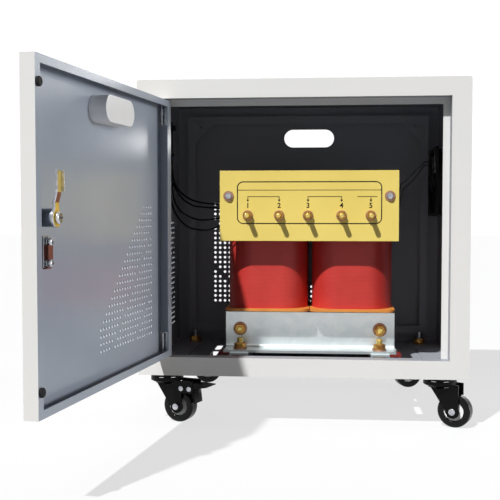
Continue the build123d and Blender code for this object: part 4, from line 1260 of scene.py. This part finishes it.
@dataclass
class Screw:
    """A pan head screw with a cross recess.

    Args:
        radius, height: of its head, in millimetres.
        slot: the recess's width, with reach as its half length and depth as how deep it goes.
        dome, dome_steps: the part of the head's height that is rounded, and in how many steps.
        dome_angle: from how many degrees on an edge of the head is rounded.
        sides: how many sides the head has.
        tool_over: how far the recess's tool stands out of the head.
    """

    radius: float = 4.2
    height: float = 3.4
    slot: float = 1.3
    reach: float = 2.6
    depth: float = 1.6
    dome: float = 0.55
    dome_steps: int = 4
    dome_angle: float = 50.0
    sides: int = 28
    tool_over: float = 2.0

    def head(
        self, name: str, stand: Stand, across: float, seat: float, up: float
    ) -> bpy.types.Object:
        """Makes the head.

        Args:
            name: the head's name.
            stand: what its place is measured from. The head looks the stand's inward way.
            across, seat, up: the place of its middle, on the face that it sits on.

        Returns:
            The head with its recess.
        """
        place = stand.at(across, seat, up)
        head = rod(name, place, stand.inward, self.radius, self.height, self.sides)
        soften(head, self.height * self.dome, self.dome_steps, self.dome_angle)
        top = seat + self.height
        bars = []
        for half_across, half_up in ((self.reach, self.slot / 2), (self.slot / 2, self.reach)):
            low = (across - half_across, top - self.depth, up - half_up)
            high = (across + half_across, top + self.tool_over, up + half_up)
            bars.append(block("recess", stand, low, high))
        for bar in bars:
            cut(head, bar)
        smooth(head)
        return head


@dataclass(frozen=True)
class Slab:
    """A block on the door, by the places where it begins and ends.

    Args:
        across, depth, up: from the middle of what it belongs to, in millimetres.
        edge, steps: how far its edges are rounded, and in how many steps.
    """

    across: tuple[float, float]
    depth: tuple[float, float]
    up: tuple[float, float]
    edge: float = 0.3
    steps: int = 1

    def solid(self, name: str, middle: tuple[float, float, float]) -> bpy.types.Object:
        """Makes the block.

        Args:
            name: its name.
            middle: what it is measured from, on the closed door.

        Returns:
            The block.
        """
        low, high = zip(self.across, self.depth, self.up)
        corners = [[a + b for a, b in zip(middle, corner)] for corner in (low, high)]
        thing = block(name, DOOR, *corners)
        soften(thing, self.edge, self.steps)
        return thing


@dataclass
class LockDressing:
    """The quarter-turn lock's clamp with its screws, cranked cam and screw, inside the door.

    Args:
        across, up: the lock's centre on the closed door.
        clamp_up: the clamp's middle height.
        clamp_seat: how deep the clamp's seat lies.
        screw_spread: from clamp screw to clamp screw.
        post: the block that carries the clamp over the door's sheet.
        strip, bridge, toe: the clamp's thin strip, its raised bridge and its turned toe.
        rib: the rib along the far edge of the cam's arm, in bright zinc as a painted highlight.
        bronze_from: how far over the clamp's seat its faces turn brown.
        collar, collar_height, collar_edge: the radius of the clamp screws' hexagon collars,
            their height and how far their edges are rounded.
        clamp_screw, cam_screw: the heads of the clamp's screws and of the cam's.
        cam_screw_seat: how deep the cam screw's head sits.
        cam_edge: the width of the cam's edges, which carry a painted highlight.
        crank_slope: the least slope of the cam's crank faces, which carry painted shade.
    """

    across: float = 441.0
    up: float = 245.4
    clamp_up: float = 208.0
    clamp_seat: float = 13.5
    screw_spread: float = 23.0
    post: Slab = Slab((-4.5, 4.5), (3.0, 13.5), (-17, 17), 0.4, 2)
    strip: Slab = Slab((-6.8, 6.8), (0, 1.4), (-18, 18))
    bridge: Slab = Slab((-5.2, 5.2), (0, 7.0), (-8, 8))
    toe: Slab = Slab((-6.8, 6.8), (0, 4.6), (-18, -16.6))
    rib: Slab = Slab((-5.5, -4.3), (31.2, 35.2), (28.4, 51.0), 0.3, 2)
    bronze_from: float = 1.6
    collar: float = 5.6
    collar_height: float = 3.0
    collar_edge: float = 0.4
    clamp_screw: Screw = field(default_factory=lambda: Screw(radius=4.4, height=4.6))
    cam_screw: Screw = field(
        default_factory=lambda: Screw(radius=7.0, height=4.2, slot=2.2, reach=4.6, depth=2.6)
    )
    cam_screw_seat: float = 28.3
    cam_edge: float = 0.9
    crank_slope: float = 0.2

    def clamp(self) -> bpy.types.Object:
        """Makes the clamp.

        Returns:
            Its strip, bridge and toe as one piece.
        """
        middle = (self.across, self.clamp_seat, self.clamp_up)
        shapes = (self.strip, self.bridge, self.toe)
        parts = [shape.solid("clamp_part", middle) for shape in shapes]
        clamp = join(parts, "lock_clamp_bridge")
        smooth(clamp)
        return clamp

    def screw(self, up: float) -> bpy.types.Object:
        """Makes a clamp screw with its hexagon collar and cross recess.

        Args:
            up: its height on the closed door.

        Returns:
            The screw.
        """
        foot = self.clamp_seat + self.strip.depth[1]
        place = DOOR.at(self.across, foot, up)
        collar = rod("collar", place, DOOR.inward, self.collar, self.collar_height, sides=6)
        soften(collar, self.collar_edge, 1)
        seat = foot + self.collar_height
        head = self.clamp_screw.head("lock_clamp_screw", DOOR, self.across, seat, up)
        screw = join([head, collar], "lock_clamp_screw")
        smooth(screw)
        return screw

    def cranked(self, centre: Vector, normal: Vector) -> bool:
        """Says whether a face of the cam with this centre and normal lies on its crank."""
        turned = facing(DOOR.inward, ROUGHLY, SQUARE)
        return turned(centre, normal) and abs(normal.z) > self.crank_slope

    def paint_cam(self) -> None:
        """Gives the cam its yellow face, a painted highlight of bright zinc on its edges and
        painted brown shade on its crank.
        """
        cam = merged_copy("lock_cam", "cranked_cam")
        chamfer(cam, facing(DOOR.inward, ROUGHLY), self.cam_edge)
        smooth(cam)
        # The cam is gold zinc; the bright zinc on its chamfered edges and other faces is a painted
        # highlight.
        dress(cam, BRIGHT_ZINC_AND_HIGHLIGHT, "gold_zinc", "lock", "lock_cam")
        repaint(cam, PALE_GOLD, facing(DOOR.inward))
        # The sloped crank faces get brown: painted shade.
        repaint(cam, BRONZE_AND_SHADE, self.cranked)

    def build(self) -> None:
        """Builds and dresses the lock."""
        clamp = dress(self.clamp(), BRIGHT_ZINC_AND_HIGHLIGHT, "bright_zinc", "door", "lock_clamp")
        strip_top = DOOR.at(0, self.clamp_seat + self.bronze_from, 0).dot(DOOR.inward)
        repaint(clamp, BRONZE_AND_SHADE, lambda centre, normal: centre.dot(DOOR.inward) > strip_top)
        post = self.post.solid("lock_clamp_post", (self.across, 0, self.clamp_up))
        rib = self.rib.solid("lock_cam_rib", (self.across, 0, self.up))
        for piece in (post, rib):
            smooth(piece)
        dress(post, LOCK_METAL, "lock_metal", "door")
        # The rib is gold zinc; its bright zinc is a painted highlight.
        dress(rib, BRIGHT_ZINC_AND_HIGHLIGHT, "gold_zinc", "lock")
        for side in (-1, 1):
            screw = self.screw(self.clamp_up + side * self.screw_spread / 2)
            dress(screw, BRIGHT_ZINC_AND_HIGHLIGHT, "bright_zinc", "door")
        self.paint_cam()
        place = (self.across, self.cam_screw_seat, self.up)
        head = self.cam_screw.head("cam_centre_screw", DOOR, *place)
        dress(head, BRIGHT_ZINC_AND_HIGHLIGHT, "bright_zinc", "lock", "cam_screw")


@dataclass(frozen=True)
class CasterPiece:
    """How one kind of caster node is finished.

    Args:
        kind: the node's name without its corner.
        width: by how many millimetres its edges are eased.
        finish, slot: its finish and its slot in the record.
        body: the body that it rides on, without its corner.
    """

    kind: str
    width: float
    finish: Finish
    slot: str
    body: str


@dataclass
class CasterDressing:
    """Eased forks, wheels, tyres, axles and pedals of the four casters.

    Args:
        corners: the casters' corners of the case.
        pieces: how each kind of node is finished.
    """

    corners: tuple[str, ...] = ("front_left", "front_right", "rear_left", "rear_right")
    pieces: tuple[CasterPiece, ...] = (
        CasterPiece("caster_fork", 0.5, BLACK_STEEL, "black_steel", "caster"),
        CasterPiece("caster_wheel", 0.8, WHITE_PLASTIC, "white_plastic", "wheel"),
        CasterPiece("caster_tyre", 1.0, TYRE, "black_tyre", "wheel"),
        CasterPiece("caster_axle", 1.2, BRIGHT_ZINC_AND_HIGHLIGHT, "bright_zinc", "caster"),
        CasterPiece("brake_pedal", 0.6, BLACK_STEEL, "black_steel", "pedal"),
    )

    def build(self) -> None:
        """Eases and dresses each caster's nodes. Two corners have no brake pedal."""
        for corner in self.corners:
            for piece in self.pieces:
                node = f"{piece.kind}_{corner}"
                if node in NODES:
                    thing = merged_copy(node, f"{node}_eased")
                    soften(thing, piece.width)
                    smooth(thing)
                    dress(thing, piece.finish, piece.slot, f"{piece.body}_{corner}", node)


@dataclass(frozen=True)
class Sun:
    """A lamp as far away as the sun.

    Args:
        way: the way that it shines.
        power: as the lamp takes it.
        size: how wide it looks, in degrees.
    """

    way: tuple[float, float, float]
    power: float
    size: float

    def hang(self) -> None:
        """Adds the lamp."""
        deselect()
        bpy.ops.object.light_add(type="SUN", location=(0, 0, 2))
        lamp = bpy.context.active_object
        lamp.rotation_euler = Vector(self.way).to_track_quat("-Z", "Y").to_euler()
        lamp.data.energy = self.power
        lamp.data.angle = math.radians(self.size)


@dataclass
class Studio:
    """Camera, lamps, floor and backdrop.

    Args:
        camera_place: in the case's millimetres.
        yaw, pitch: where it looks, in degrees.
        lens, sensor: in millimetres.
        far: how far it sees, in metres.
        suns: the front lamp, one from the right that reaches the open door's inside, and a
            weak one that shines on the back.
        sky: how strongly the sky lights the object.
        sky_seen, sky_mirrored: how bright it is to the camera and in what mirrors it.
        floor_size, floor_back: the floor's side and how far back its middle lies, in metres.
        floor_colour: its colour, which keeps the shadow.
        floor_glow: what it gives off to the camera and to what mirrors it.
    """

    camera_place: tuple[float, float, float] = (285.4, -1318.8, 254.5)
    yaw: float = 4.906
    pitch: float = -2.66
    lens: float = 63.115
    sensor: float = 36.0
    far: float = 20.0
    suns: tuple[Sun, ...] = (
        Sun((0.52, 1.0, -1.3), 4.1, 1.5),
        Sun((-1.0, 0.02, -0.12), 1.65, 20.0),
        Sun((-0.35, -1.0, -0.12), 1.1, 25.0),
    )
    sky: float = 0.06
    sky_seen: float = 1.05
    sky_mirrored: float = 0.7
    floor_size: float = 14.0
    floor_back: float = 3.0
    floor_colour: Colour = (0.26, 0.26, 0.265)
    floor_glow: float = 0.68

    def camera(self) -> None:
        """Sets the camera as the photo was taken."""
        bpy.ops.object.camera_add(
            location=case_at(*self.camera_place),
            rotation=(math.radians(90 + self.pitch), 0, math.radians(self.yaw)),
        )
        camera = bpy.context.active_object
        camera.data.lens = self.lens
        camera.data.sensor_width = self.sensor
        camera.data.clip_end = self.far
        bpy.context.scene.camera = camera

    def floor_material(self) -> bpy.types.Material:
        """Makes the floor's material, which shows white to the camera and keeps the shadow.

        Returns:
            The material.
        """
        material = bpy.data.materials.new("white floor")
        material.use_nodes = True
        recipe = Recipe(material.node_tree)
        rays = recipe.add("LightPath").outputs
        seen = recipe.reckon("MAXIMUM", rays["Is Camera Ray"], rays["Is Glossy Ray"])
        glow = recipe.reckon("MULTIPLY", seen, self.floor_glow)
        sources = (
            recipe.add("BsdfDiffuse", Color=self.floor_colour),
            recipe.add("Emission", Color=(1.0, 1.0, 1.0), Strength=glow),
        )
        both = recipe.add("AddShader")
        for number, source in enumerate(sources):
            recipe.feed(both, number, source.outputs[0])
        recipe.feed(recipe.add("OutputMaterial"), "Surface", both.outputs[0])
        return material

    def world(self) -> None:
        """Sets a soft even sky that the camera sees as white."""
        world = bpy.data.worlds.new("soft sky")
        bpy.context.scene.world = world
        world.use_nodes = True
        recipe = Recipe(world.node_tree)
        rays = recipe.add("LightPath").outputs
        seen = recipe.reckon("MULTIPLY", rays["Is Camera Ray"], self.sky_seen - self.sky)
        mirrored = recipe.reckon("MULTIPLY", rays["Is Glossy Ray"], self.sky_mirrored - self.sky)
        strength = recipe.reckon("ADD", recipe.reckon("ADD", seen, mirrored), self.sky)
        sky = recipe.add("Background", Color=(1.0, 1.0, 1.0), Strength=strength)
        recipe.feed(recipe.add("OutputWorld"), "Surface", sky.outputs[0])

    def build(self) -> None:
        """Lights the object and lays the floor."""
        for sun in self.suns:
            sun.hang()
        deselect()
        bpy.ops.mesh.primitive_plane_add(size=self.floor_size, location=(0, self.floor_back, 0))
        floor = fresh("floor")
        floor.data.materials.append(self.floor_material())
        floor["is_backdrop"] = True
        self.world()


def paint_nodes() -> None:
    """Gives every CAD node the finish that its slot in the record names."""
    for part in RECORD["subparts"]:
        thing = NODES[part["node"]]
        thing.data.materials.clear()
        thing.data.materials.append(SLOTS[part["material_slot"]].material())


def write_sizes(when: str, sizes: dict[str, list[list[float]]]) -> None:
    """Args:
        when: the moment's name.
        sizes: what was kept before, to which this moment is added.
    """
    sizes[when] = [list(corner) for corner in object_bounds()]


def main() -> None:
    """Builds the sub-assemblies in order and reports each piece."""
    logging.basicConfig(level=logging.INFO, format="%(message)s")
    sizes: dict[str, list[list[float]]] = {}
    write_sizes("loaded", sizes)
    deselect()
    bpy.context.scene.view_settings.view_transform = "Standard"
    studio = Studio()
    studio.camera()
    for make in (mottle_group, grain_group, bands_group):
        make()
    paint_nodes()
    pieces = (CaseSheets(), DoorSheet(), Fittings(), LockDressing(), CasterDressing())
    for assembly in (*pieces, BoardPrint(), studio):
        assembly.build()
    write_sizes("finished", sizes)


if __name__ == "__main__":
    main()
